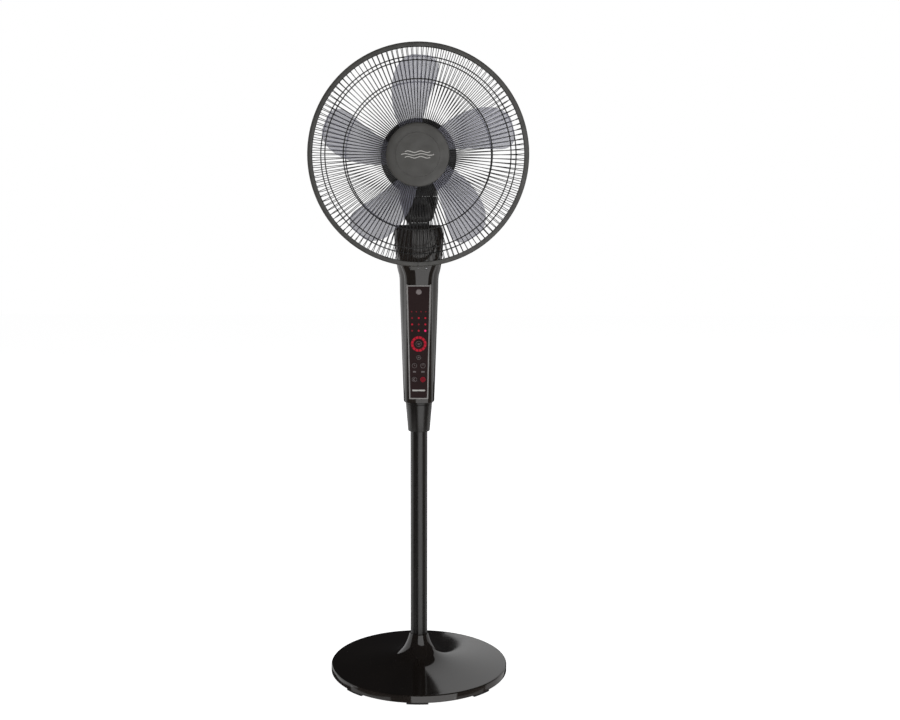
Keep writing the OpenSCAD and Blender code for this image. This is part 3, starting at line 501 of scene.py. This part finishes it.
def badge():
    """Domed disc with a turned groove, and three plain breeze waves as a raised mark."""
    low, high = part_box("guard_badge")
    radius, back, face = high.x - 0.05 * MM, -high.y, -low.y
    groove = radius * 0.7
    dome = lambda r: face - 0.5 * MM * (r / (radius - 4 * MM)) ** 2
    profile = [(0.0005, back), (radius - 0.5 * MM, back), (radius, back + 0.5 * MM), (radius, back + 2.4 * MM)]
    profile += [(radius - 1.4 * MM + 1.4 * MM * cos(radians(a)), back + 2.4 * MM + 2.1 * MM * sin(radians(a)))
                for a in range(15, 91, 15)]
    profile += [(radius - 4 * MM, dome(radius - 4 * MM)), (radius * 0.8, dome(radius * 0.8)),
                (groove + 0.45 * MM, dome(groove)), (groove + 0.25 * MM, dome(groove) - 0.35 * MM),
                (groove - 0.25 * MM, dome(groove) - 0.35 * MM), (groove - 0.45 * MM, dome(groove)),
                (radius * 0.4, dome(radius * 0.4)), (radius * 0.2, dome(radius * 0.2)), (0.0005, dome(0))]
    verts, faces = revolve(profile, forward, 160)
    mesh_piece("badge_disc", verts, faces, MATERIALS["graphite"], "head", "graphite", 25, ["guard_badge"])
    parts = []
    for row in (-1, 0, 1):
        half = (31 - 7 * abs(row)) * MM
        points = []
        for i in range(41):
            t = i / 40
            x = -half + 2 * half * t
            y = row * 5.2 * MM + 1.5 * MM * sin(t * 4 * pi)
            points.append(forward(x, y, dome(sqrt(x * x + y * y))))
        parts.append(tube(points, 0.75 * MM, 8))
    verts, faces = joined(parts)
    limit = -face
    verts = [Vector((v.x, max(v.y, limit), v.z)) for v in verts]
    mesh_piece("badge_waves", verts, faces, PRINT_LIGHT, "head", "graphite", 60)


# ---------------------------------------------------------------- blade
BLADE_ROWS = [  # share of the tip radius, leading and trailing angles, back and front places in mm
    (0.175, 86, 131, 76, 114), (0.34, 83, 124, 72, 119), (0.54, 80, 117.5, 71, 119), (0.7, 77.8, 112, 73, 117),
    (0.85, 76.5, 106, 77, 113), (0.93, 77.5, 101.5, 81, 110), (0.98, 80.5, 97, 85, 106), (1, 84.5, 93, 90, 102)
]


def fan_blade():
    """Five cambered blades in one moulding, with a painted glint on their rims, and their ribbed hub."""
    tip_r = 191 * MM
    hub_r = 36 * MM
    rows = smooth_path([Vector(row) for row in BLADE_ROWS], 4)
    cols = 16
    camber = 5 * MM
    thick = 2 * MM
    verts, faces, glint_rim_faces = [], [], set()
    for blade in range(5):
        base = len(verts)
        for side in (1, -1):
            for row in rows:
                share, lead, trail, back, front = row
                for j in range(cols + 1):
                    s = j / cols
                    angle = radians(lead + (trail - lead) * s + 72 * blade)
                    z = (back + (front - back) * s) * MM - camber * 4 * s * (1 - s)
                    rim = min(s, 1 - s) * 2
                    fade = min(1.0, 0.35 + 2.6 * rim) * min(1, 0.35 + 9 * (1.003 - share))
                    verts.append(forward(share * tip_r * cos(angle), share * tip_r * sin(angle),
                                         z + side * thick / 2 * fade))
        n, width = len(rows), cols + 1
        count = n * width
        for i in range(n - 1):
            for j in range(cols):
                c = base + i * width + j
                faces.append((c, c + 1, c + width + 1, c + width))
                c += count
                faces.append((c, c + width, c + width + 1, c + 1))
        loop = [j for j in range(cols)] + [i * width + cols for i in range(n - 1)]
        loop += [(n - 1) * width + j for j in range(cols, 0, -1)] + [i * width for i in range(n - 1, 0, -1)]
        for k, a in enumerate(loop):
            b = loop[(k + 1) % len(loop)]
            glint_rim_faces.add(len(faces))
            faces.append((base + a, base + a + count, base + b + count, base + b))
    blades = mesh_piece("blade_vanes", verts, faces, MATERIALS["smoke_blade"], "rotor", "smoke_blade", 50)
    # The rim faces take the paler colour, a painted glint along the edges of every blade.
    blades.data.materials.append(BLADE_RIM_GLINT)
    for index in glint_rim_faces:
        blades.data.polygons[index].material_index = 1
    hub = rounded([
        (shaft_bore(), 84 * MM), (10 * MM, 84 * MM), (10 * MM, 113 * MM), (hub_r - 2.5 * MM, 113 * MM),
        (hub_r - 2.5 * MM, 76 * MM), (hub_r, 76 * MM), (hub_r, 116 * MM), (shaft_bore(), 116 * MM)
    ], 1.2 * MM, 3)
    parts = [revolve(hub, forward, 96)]
    rib = [(10 * MM, -0.8 * MM), (hub_r - 2.4 * MM, -0.8 * MM), (hub_r - 2.4 * MM, 0.8 * MM), (10 * MM, 0.8 * MM)]
    for i in range(10):
        parts.append(prism(spun(rib, 36 * i), 88 * MM, 113.2 * MM, forward))
    verts, faces = joined(parts)
    mesh_piece("blade_hub", verts, faces, MATERIALS["smoke_blade"], "rotor", "smoke_blade", 30, ["fan_blade"])


def shaft_bore():
    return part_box("motor_shaft")[1].x + 0.15 * MM


# ---------------------------------------------------------------- housing and neck
def loft(sections, closed_ends=True):
    """Points and faces through closed sections that all have the same number of points."""
    count = len(sections[0])
    verts = [p for section in sections for p in section]
    faces = []
    for i in range(len(sections) - 1):
        a, b = i * count, (i + 1) * count
        faces += [(a + j, a + (j + 1) % count, b + (j + 1) % count, b + j) for j in range(count)]
    if closed_ends:
        faces.append(tuple(range(count))[::-1])
        faces.append(tuple(range((len(sections) - 1) * count, len(sections) * count)))
    return verts, faces


def between(levels, z):
    """Values at a height, on a smooth curve through rows of (height, value, ...)."""
    rows = levels
    if z <= rows[0][0]:
        return rows[0][1:]
    if z >= rows[-1][0]:
        return rows[-1][1:]
    i = max(k for k in range(len(rows) - 1) if rows[k][0] <= z)
    z0, z1 = rows[i][0], rows[i + 1][0]
    t = (z - z0) / (z1 - z0)
    out = []
    for c in range(1, len(rows[0])):
        here, there = rows[i][c], rows[i + 1][c]
        before = rows[i - 1] if i else rows[i]
        after = rows[i + 2] if i + 2 < len(rows) else rows[i + 1]
        m0 = (there - before[c]) / (z1 - before[0]) * (z1 - z0)
        m1 = (after[c] - here) / (after[0] - z0) * (z1 - z0)
        out.append((2 * t ** 3 - 3 * t ** 2 + 1) * here + (t ** 3 - 2 * t ** 2 + t) * m0
                   + (3 * t ** 2 - 2 * t ** 3) * there + (t ** 3 - t ** 2) * m1)
    return out


def front_section(half, front, z, seam, inset):
    """The rounded front of the fascia, closed along the seam plane."""
    a, deep = half - inset, front - inset - seam
    points = []
    steps = 48
    for i in range(steps + 1):
        u = -cos(pi * i / steps)
        points.append(Vector((a * u, -seam - deep * max(0, 1 - abs(u) ** 2.5) ** 0.5, z)))
    return points


def rear_section(half, fascia, back, z, seam, inset):
    """The rear shell's outline: slanted cheeks in front, rounded corners behind."""
    a, b, f = half - inset, back - inset, min(fascia, half) - inset
    corner = 15 * MM - inset
    right = [(f, -seam), (f + (a - f) * 0.30, -seam + 3.4 * MM), (f + (a - f) * 0.62, -seam + 8 * MM),
             (f + (a - f) * 0.90, -seam + 14 * MM), (a, -seam + 20 * MM)]
    for i in range(9):
        angle = pi / 2 * i / 8
        right.append((a - corner + corner * cos(angle), b - corner + corner * sin(angle)))
    outline = right + [(-x, y) for x, y in reversed(right)]
    return [Vector((x, y, z)) for x, y in outline]


def housing_sizes():
    """Foot and top heights, then rows of (height, half width, depth) for the rear shell and the fascia."""
    low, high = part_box("housing_rear")
    foot, top, wide = low.z, high.z, high.x
    shoulder = top - 104 * MM
    fascia = 29 * MM
    rear = [(foot, 31.6 * MM, 30 * MM), (shoulder - 30 * MM, 39.0 * MM, 33.6 * MM), (shoulder, 40.0 * MM, 34 * MM),
            (shoulder + 16 * MM, 43.8 * MM, 36 * MM), (shoulder + 34 * MM, 46.4 * MM, 38 * MM),
            (top - 18 * MM, wide, 42 * MM), (top - 5 * MM, wide - 1.6 * MM, 41 * MM), (top, wide - 5 * MM, 38 * MM)]
    front = [(foot, fascia, 28.6 * MM), (shoulder - 20 * MM, fascia, 28.6 * MM),
             (shoulder + 4 * MM, fascia + 1.5 * MM, 28.6 * MM), (shoulder + 26 * MM, fascia + 9 * MM, 28.6 * MM),
             (shoulder + 50 * MM, wide - 6 * MM, 28.6 * MM),
             (top - 18 * MM, wide - 2.5 * MM, 28 * MM), (top - 5 * MM, wide - 4 * MM, 27 * MM),
             (top, wide - 8 * MM, 24.8 * MM)]
    return foot, top, rear, front


def heights(foot, top, inset):
    """Even heights from the foot to the top, both set in by a wall."""
    low, high = foot + inset, top - inset
    steps = 64
    return [low + (high - low) * i / steps for i in range(steps + 1)]


def mouth_tool(top):
    """Cuts the opening in the housing top that the neck moves in."""
    x, y = 29 * MM, 24 * MM
    outline = rounded([(-x, -y), (x, -y), (x, y), (-x, y)], 5 * MM, 4)
    return scratch("mouth", *prism(outline, top - 16 * MM, top + 4 * MM, upright))


def panel_corners(grow):
    """The tapered panel outline, grown by a gap."""
    low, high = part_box("panel_frame")
    foot, top = low.z + 1.2 * MM, high.z - 1.2 * MM
    half_foot, half_top = 19.3 * MM, 24.35 * MM
    return [(-half_foot - grow, foot - grow), (half_foot + grow, foot - grow),
            (half_top + grow, top + grow), (-half_top - grow, top + grow)]


def housing():
    """The curved fascia and the rear shell, hollow, with their openings."""
    foot, top, rear, front = housing_sizes()
    tube_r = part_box("inner_tube")[1].x + 0.5 * MM
    seam = 12.15 * MM
    outer = [front_section(*between(front, z), z, seam, 0) for z in heights(foot, top, 0)]
    shell = scratch("housing_fascia", *loft(outer))
    inner = [[Vector((p.x, min(p.y, -seam + 0.001) if abs(p.y + seam) > 1e-6 else p.y + 2 * MM, p.z))
              for p in front_section(*between(front, z), z, seam, 2.5 * MM)] for z in heights(foot, top, 2.5 * MM)]
    bore = scratch("bore", *prism(disc_outline(0, 0, tube_r, 64), foot - 0.01, foot + 0.01, upright))
    window = scratch("window", *prism(panel_corners(0.15 * MM), 0.02, 0.04))
    cut(shell, [scratch("room", *loft(inner)), bore, window, mouth_tool(top)])
    dress(shell, MATERIALS["gloss_black"], "mast", "gloss_black", 28, ["housing_front"])

    seam = 11.85 * MM
    outer, inner = [], []
    for z in heights(foot, top, 0):
        half, back = between(rear, z)
        outer.append(rear_section(half, between(front, z)[0] + 0.4 * MM, back, z, seam, 0))
    for z in heights(foot, top, 2.5 * MM):
        half, back = between(rear, z)
        section = rear_section(half, between(front, z)[0] + 0.4 * MM, back, z, seam, 2.5 * MM)
        section[0].y -= 1 * MM
        section[-1].y -= 1 * MM
        inner.append(section)
    shell = scratch("housing_shell", *loft(outer))
    bore = scratch("bore", *prism(disc_outline(0, 0, tube_r, 64), foot - 0.01, foot + 0.01, upright))
    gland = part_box("cord_gland")
    middle = (gland[0].z + gland[1].z) / 2
    hole = scratch("hole", *prism(disc_outline(0, middle, 6.1 * MM, 48), -0.05, -0.02))
    tools = [scratch("room", *loft(inner)), bore, hole, mouth_tool(top)]
    for side in (-1, 1):
        for x, z in ((25.4 * MM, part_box("panel_frame")[0].z + 13.2 * MM), (38.5 * MM, top - 70 * MM)):
            tools.append(scratch("well", *prism(disc_outline(side * x, z, 3.1 * MM, 32), -0.06, -0.012)))
    cut(shell, tools)
    dress(shell, MATERIALS["gloss_black"], "mast", "satin_black", 28, ["housing_rear"])


def housing_screws():
    """Pan-headed screws that stop short of the curved fascia."""
    low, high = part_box("housing_screws")
    head_r = 2.8 * MM
    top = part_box("housing_rear")[1].z
    screws = []
    for x, z in ((low.x + head_r, top - 70 * MM), (25.4 * MM, low.z + head_r)):
        across = abs(x)
        for side in (-1, 1):
            def place(px, py, pz, side=side, across=across, z=z):
                return Vector((side * across + px, -pz, z + py))
            profile = rounded([(0.0003, -high.y), (head_r - 0.3 * MM, -high.y), (head_r, -high.y + 0.8 * MM),
                               (head_r, -high.y + 1.8 * MM), (1.4 * MM, -high.y + 1.8 * MM), (1.4 * MM, 15 * MM),
                               (0.0003, 17 * MM)], 0.2 * MM, 2)
            screws.append(revolve(profile, place, 24))
    mesh_piece("cross_screws", *joined(screws), MATERIALS["steel"], "mast", "steel", 30, ["housing_screws"])


def neck():
    """The two halves of the neck cover, from the barrel up to the turntable."""
    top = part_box("neck_cover_front")[1].z
    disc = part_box("neck_cover_front")[1].x
    barrel, half = 27 * MM, 25 * MM

    def section(z, inset):
        rise = z - TILT_Z
        t = max(0, min(1, rise / (top - 6 * MM - TILT_Z)))
        ease = t * t * (3 - 2 * t) * 0.35 + t * 0.65
        if rise < 0:
            deep = sqrt(max(1e-8, (barrel - inset) ** 2 - rise ** 2))
        else:
            deep = barrel + (disc - barrel) * ease - inset
        widen = max(0, min(1, (rise + 13 * MM) / (12 * MM)))
        waist = half + 5.5 * MM * widen * widen * (3 - 2 * widen)
        wide = waist + (disc - waist) * ease - inset if rise > 0 else waist - inset
        power = 7 - 5 * ease
        points = []
        for i in range(72):
            a = 2 * pi * i / 72
            c, q = cos(a), sin(a)
            points.append(Vector((wide * (1 if c >= 0 else -1) * abs(c) ** (2 / power),
                                  deep * (1 if q >= 0 else -1) * abs(q) ** (2 / power), z)))
        return points

    def form(inset, head):
        low = TILT_Z - barrel + inset + 0.3 * MM
        rows = [low + (TILT_Z - low) * (1 - cos(pi / 2 * i / 14)) for i in range(14)]
        rows += [TILT_Z + (head - TILT_Z) * i / 24 for i in range(25)]
        return loft([section(z, inset) for z in rows])

    for side, name in ((-1, "neck_cover_front"), (1, "neck_cover_rear")):
        shell = scratch("neck_shell_front" if side < 0 else "neck_shell_rear", *form(0, top))
        tools = [scratch("room", *form(2 * MM, top - 6.5 * MM))]
        seat = disc_outline(0, 0, disc - 4 * MM, 72)
        tools.append(scratch("well", *prism(seat, top - 7 * MM, top + 5 * MM, upright)))
        floor_hole = [(-23 * MM, -23 * MM), (23 * MM, -23 * MM), (23 * MM, 23 * MM), (-23 * MM, 23 * MM)]
        tools.append(scratch("under", *prism(floor_hole, TILT_Z - 40 * MM, TILT_Z - 8 * MM, upright)))
        seam, far = side * 0.15 * MM, -side * 100 * MM
        away = [(-0.1, seam), (0.1, seam), (0.1, far), (-0.1, far)]
        tools.append(scratch("away", *prism(away, 0.8, 1.2, upright)))
        for k in range(-2, 3):
            x = k * 5.4 * MM
            slot = rounded([(x - 1.1 * MM, TILT_Z - 2 * MM), (x + 1.1 * MM, TILT_Z - 2 * MM),
                            (x + 1.1 * MM, TILT_Z + 22 * MM), (x - 1.1 * MM, TILT_Z + 22 * MM)], 1 * MM, 3)
            z0, z1 = (0.02, 0.045) if side < 0 else (-0.045, -0.02)
            tools.append(scratch("slot", *prism(slot, z0, z1)))
        cut(shell, tools)
        dress(shell, MATERIALS["pole_black"], "tilt_neck", "gloss_black", 32, [name])


# ---------------------------------------------------------------- panel
def panel():
    """Lamps, ring lights, key outlines and the plain mark, printed on or lit behind the lens."""
    face = -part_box("panel_lens")[0].y
    ring_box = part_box("light_ring")
    ring_z = (ring_box[0].z + ring_box[1].z) / 2
    ring_r = (ring_box[1].x - ring_box[0].x) / 2
    ring_face = -ring_box[0].y
    lamp_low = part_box("indicator_lamps")[0].z + 1.5 * MM
    pitch, spacing = 12.9 * MM, 13.3 * MM
    lamps = {"dim": [], "mid": [], "bright": []}
    tone = {(0, -1): "dim", (0, 0): "mid", (0, 1): "bright", (1, -1): "mid", (1, 0): "dim", (1, 1): "mid",
            (2, -1): "dim", (2, 0): "mid", (2, 1): "mid"}
    for (row, column), kind in tone.items():
        radius = (2.2 if kind == "bright" else 1.9) * MM
        outline = disc_outline(column * spacing, lamp_low + row * pitch, radius, 24)
        lamps[kind].append(prism(outline, face - 0.3 * MM, face + 0.12 * MM))
    for column in (-1.5, -0.5, 0.5, 1.5):
        outline = disc_outline(column * spacing * 0.72, lamp_low + 3 * pitch, 1.3 * MM, 20)
        lamps["dim"].append(prism(outline, face - 0.3 * MM, face + 0.12 * MM))
    for kind, material in (("dim", LIT_DIM), ("mid", LIT_RED), ("bright", LIT_BRIGHT)):
        mesh_piece("lamps_" + kind, *joined(lamps[kind]), material, "mast", "lamp_red")

    def at_ring(x, y, z):
        return facing(x, ring_z + y, z)

    profile = ring_profile(ring_r - 5.2 * MM, ring_r - 0.5 * MM, ring_face - 0.2 * MM, ring_face + 0.15 * MM)
    segments = [revolve(profile, at_ring, 6, i * 30 + 3, 24) for i in range(12)]
    mesh_piece("ring_segments", *joined(segments), LIT_RED, "mast", "lamp_red")

    marks = []
    for side in (-1, 1):
        for dx in (-2.2, 0, 2.2):
            x, z = side * 8.6 * MM + dx * MM, ring_z - 57 * MM
            marks.append(prism([(x - 0.8 * MM, z - 1.6 * MM), (x + 0.8 * MM, z - 1.6 * MM),
                                (x + 0.8 * MM, z + 1.6 * MM), (x - 0.8 * MM, z + 1.6 * MM)],
                               face - 0.2 * MM, face + 0.08 * MM))
    mesh_piece("panel_marks", *joined(marks), PRINT_GREY, "mast", "key_black")
    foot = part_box("panel_frame")[0].z + 1.2 * MM + 17.9 * MM
    bar = rounded([(-13 * MM, foot - 1.6 * MM), (13 * MM, foot - 1.6 * MM), (13 * MM, foot + 1.6 * MM),
                   (-13 * MM, foot + 1.6 * MM)], 0.8 * MM, 3)
    mesh_piece("panel_bar", *prism(bar, face - 0.2 * MM, face + 0.1 * MM), PRINT_LIGHT, "mast", "frame_silver")

    for key, body in (("key_speed", "speed_button"), ("key_mode", "mode_button"), ("key_timer", "timer_button"),
                      ("key_swing", "swing_button"), ("key_night", "night_button"), ("key_power", "power_button")):
        low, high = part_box(key)
        x, z, r, front = (low.x + high.x) / 2, (low.z + high.z) / 2, (high.x - low.x) / 2, -low.y

        def place(px, py, pz, x=x, z=z):
            return facing(x + px, z + py, pz)
        ring = revolve(ring_profile(r - 1.15 * MM, r - 0.6 * MM, front - 0.15 * MM, front + 0.07 * MM), place, 40)
        marks = [ring] + [prism([(x + a * MM, z + b * MM) for a, b in shape], front - 0.15 * MM, front + 0.07 * MM)
                          for shape in ICONS[key]]
        mesh_piece(key + "_print", *joined(marks), PRINT_GREY if key != "key_power" else LIT_RED, body, "key_black")


def stroke(x0, y0, x1, y1, width=0.6):
    """A short straight line as an outline."""
    length = sqrt((x1 - x0) ** 2 + (y1 - y0) ** 2)
    nx, ny = -(y1 - y0) / length * width / 2, (x1 - x0) / length * width / 2
    return [(x0 - nx, y0 - ny), (x1 - nx, y1 - ny), (x1 + nx, y1 + ny), (x0 + nx, y0 + ny)]


def arc(radius, start, end, width=0.6, steps=10):
    """A curved line as an outline."""
    angles = [radians(start + (end - start) * i / steps) for i in range(steps + 1)]
    outer = [((radius + width / 2) * cos(a), (radius + width / 2) * sin(a)) for a in angles]
    return outer + [((radius - width / 2) * cos(a), (radius - width / 2) * sin(a)) for a in reversed(angles)]


ICONS = {
    "key_speed": [stroke(-3, 0, 3, 0), stroke(-2.4, 1.6, 2.4, 1.6), stroke(-2.4, -1.6, 2.4, -1.6)],
    "key_mode": [stroke(-2.2, 0, 2.2, 0), stroke(0, -2.2, 0, 2.2)],
    "key_timer": [stroke(0, 0, 0, 2.4), stroke(0, 0, 1.8, 0)],
    "key_swing": [arc(2.4, 20, 160), stroke(-2.3, 0.9, -1.2, 0.2), stroke(2.3, 0.9, 1.2, 0.2)],
    "key_night": [arc(2.4, 60, 300), arc(1.6, 70, 290)],
    "key_power": [arc(2.6, -230, 50), stroke(0, 0.6, 0, 3)],
}


# ---------------------------------------------------------------- motor cover
def motor_cover():
    """A domed rear cover with its foot, hollow, with a fan of vents in the back."""
    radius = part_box("motor_front_plate")[1].x + 0.5 * MM
    low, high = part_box("motor_cover")
    tail = high.y
    foot_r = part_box("neck_cover_front")[1].x - 1 * MM

    def profile(inset, front):
        r = radius - inset
        side, back = 50 * MM, tail - inset
        dome = [(r * cos(radians(a)) ** 0.72, -side - (back - side) * sin(radians(a)) ** 1.15) for a in range(0, 90, 4)]
        return [(0.0003, front), (r, front)] + dome + [(0.0003, -back)]

    shell = scratch("motor_shell", *revolve(profile(0, 40 * MM), forward, 128))
    foot_top = HUB_Z - radius + 12 * MM
    foot = rounded([(0.0003, low.z), (foot_r, low.z), (foot_r, foot_top), (0.0003, foot_top)], 1.0 * MM, 3)
    cut(shell, [scratch("foot", *revolve(foot, upright, 96))], "UNION")
    tools = [scratch("room", *revolve(profile(2.5 * MM, 42 * MM), forward, 128))]
    well = [(0.0003, low.z - 0.005), (foot_r - 2.5 * MM, low.z - 0.005), (foot_r - 2.5 * MM, HUB_Z - 40 * MM),
            (0.0003, HUB_Z - 40 * MM)]
    tools.append(scratch("well", *revolve(well, upright, 96)))
    slot = rounded([(22 * MM, -1.3 * MM), (50 * MM, -1.3 * MM), (50 * MM, 1.3 * MM), (22 * MM, 1.3 * MM)],
                   1.2 * MM, 3)
    for i in range(24):
        tools.append(scratch("slot", *prism(spun(slot, 15 * i), -tail - 0.005, -70 * MM, forward)))
    cut(shell, tools)
    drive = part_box("swing_motor")
    posts = [prism(disc_outline(side * 25 * MM, -50 * MM, 2.5 * MM, 24), HUB_Z - radius + 3.5 * MM,
                   drive[0].z + 8 * MM, lambda x, y, z: Vector((x, -y, z))) for side in (-1, 1)]
    mesh_piece("drive_posts", *joined(posts), MATERIALS["satin_black"], "head", "satin_black")
    dress(shell, MATERIALS["satin_black"], "head", "satin_black", 30, ["motor_cover"])


# ---------------------------------------------------------------- studio
def area_light(name, at, aim, size, power, colour=(1, 1, 1)):
    data = bpy.data.lights.new(name, "AREA")
    data.shape = "RECTANGLE"
    data.size, data.size_y = size
    data.energy = power
    data.color = colour
    light = bpy.data.objects.new(name, data)
    COLLECTION.objects.link(light)
    light.location = at
    light.rotation_euler = (Vector(aim) - Vector(at)).to_track_quat("-Z", "Y").to_euler()
    return light


def card(name, azimuth, distance, width, low, high, radiance):
    """A soft light card, upright, at an azimuth from the front turned towards the right."""
    angle = radians(azimuth)
    at = (distance * sin(angle), -distance * cos(angle), (low + high) / 2)
    height = high - low
    light = area_light(name, at, (0, 0, (low + high) / 2), (width, height), radiance * width * height * pi)
    light.visible_camera = False


def studio():
    """White backdrop, pale floor, and soft cards that the gloss surfaces reflect."""
    world = bpy.data.worlds.new("studio")
    bpy.context.scene.world = world
    world.use_nodes = True
    tree = world.node_tree
    background = tree.nodes["Background"]
    rays = tree.nodes.new("ShaderNodeLightPath")
    white = tree.nodes.new("ShaderNodeBackground")
    white.inputs["Color"].default_value = (1, 1, 1, 1)
    background.inputs["Color"].default_value = (0.02, 0.02, 0.021, 1)
    choice = tree.nodes.new("ShaderNodeMixShader")
    tree.links.new(rays.outputs["Is Camera Ray"], choice.inputs["Fac"])
    tree.links.new(background.outputs["Background"], choice.inputs[1])
    tree.links.new(white.outputs["Background"], choice.inputs[2])
    tree.links.new(choice.outputs["Shader"], tree.nodes["World Output"].inputs["Surface"])
    mesh = bpy.data.meshes.new("floor")
    mesh.from_pydata([(-8, -8, -0.0003), (8, -8, -0.0003), (8, 8, -0.0003), (-8, 8, -0.0003)], [], [(0, 1, 2, 3)])
    floor = bpy.data.objects.new("floor", mesh)
    COLLECTION.objects.link(floor)
    material, tree, node = shader("pale_floor")
    tree.links.new(ramp(tree, noise(tree, 2, 2), (0.90, 0.90, 0.90), (0.94, 0.94, 0.94)), node.inputs["Base Color"])
    node.inputs["Roughness"].default_value = 0.8
    node.inputs["Emission Color"].default_value = (1, 1, 1, 1)
    node.inputs["Emission Strength"].default_value = 0.97
    mesh.materials.append(material)
    floor.visible_glossy = False
    card("front_card", 20, 4.2, 4.6, -2.2, 2.2, 1.9)
    card("back_right_card", 151, 3.6, 3.7, 0.88, 4.2, 0.88)
    card("right_card", 120, 3.6, 3.6, -1.5, 0.6, 0.7)
    card("left_card", 243, 3.4, 5.0, -1.2, 1.8, 1.0)
    card("left_low_card", 295, 3.6, 4.2, -2.4, -1.25, 0.8)
    card("right_low_card", 68, 3.6, 3.0, -2.4, -1.25, 0.5)
    area_light("top_light", (0, -0.6, 3.4), (0, 0, 0.6), (1.6, 1.2), 14).visible_glossy = False
    scene = bpy.context.scene
    scene.view_settings.view_transform = "Standard"
    scene.view_settings.look = "None"


def camera():
    """At the photograph's height, distance and angle, with the fan left of the middle."""
    data = bpy.data.cameras.new("camera")
    data.sensor_width = 36
    data.lens = 48.3
    data.shift_x = 0.0345
    data.shift_y = -0.0011
    piece = bpy.data.objects.new("camera", data)
    COLLECTION.objects.link(piece)
    azimuth, pitch, distance, height = radians(0.95), radians(7.48), 2.458, 0.987
    piece.location = (distance * sin(azimuth), -distance * cos(azimuth), height)
    piece.rotation_euler = (pi / 2 - pitch, 0, azimuth)
    bpy.context.scene.camera = piece


camera()
studio()
dress_cad_nodes()
base_cover()
pole_and_collar()
guards()
hoop()
badge()
fan_blade()
housing()
housing_screws()
neck()
panel()
motor_cover()
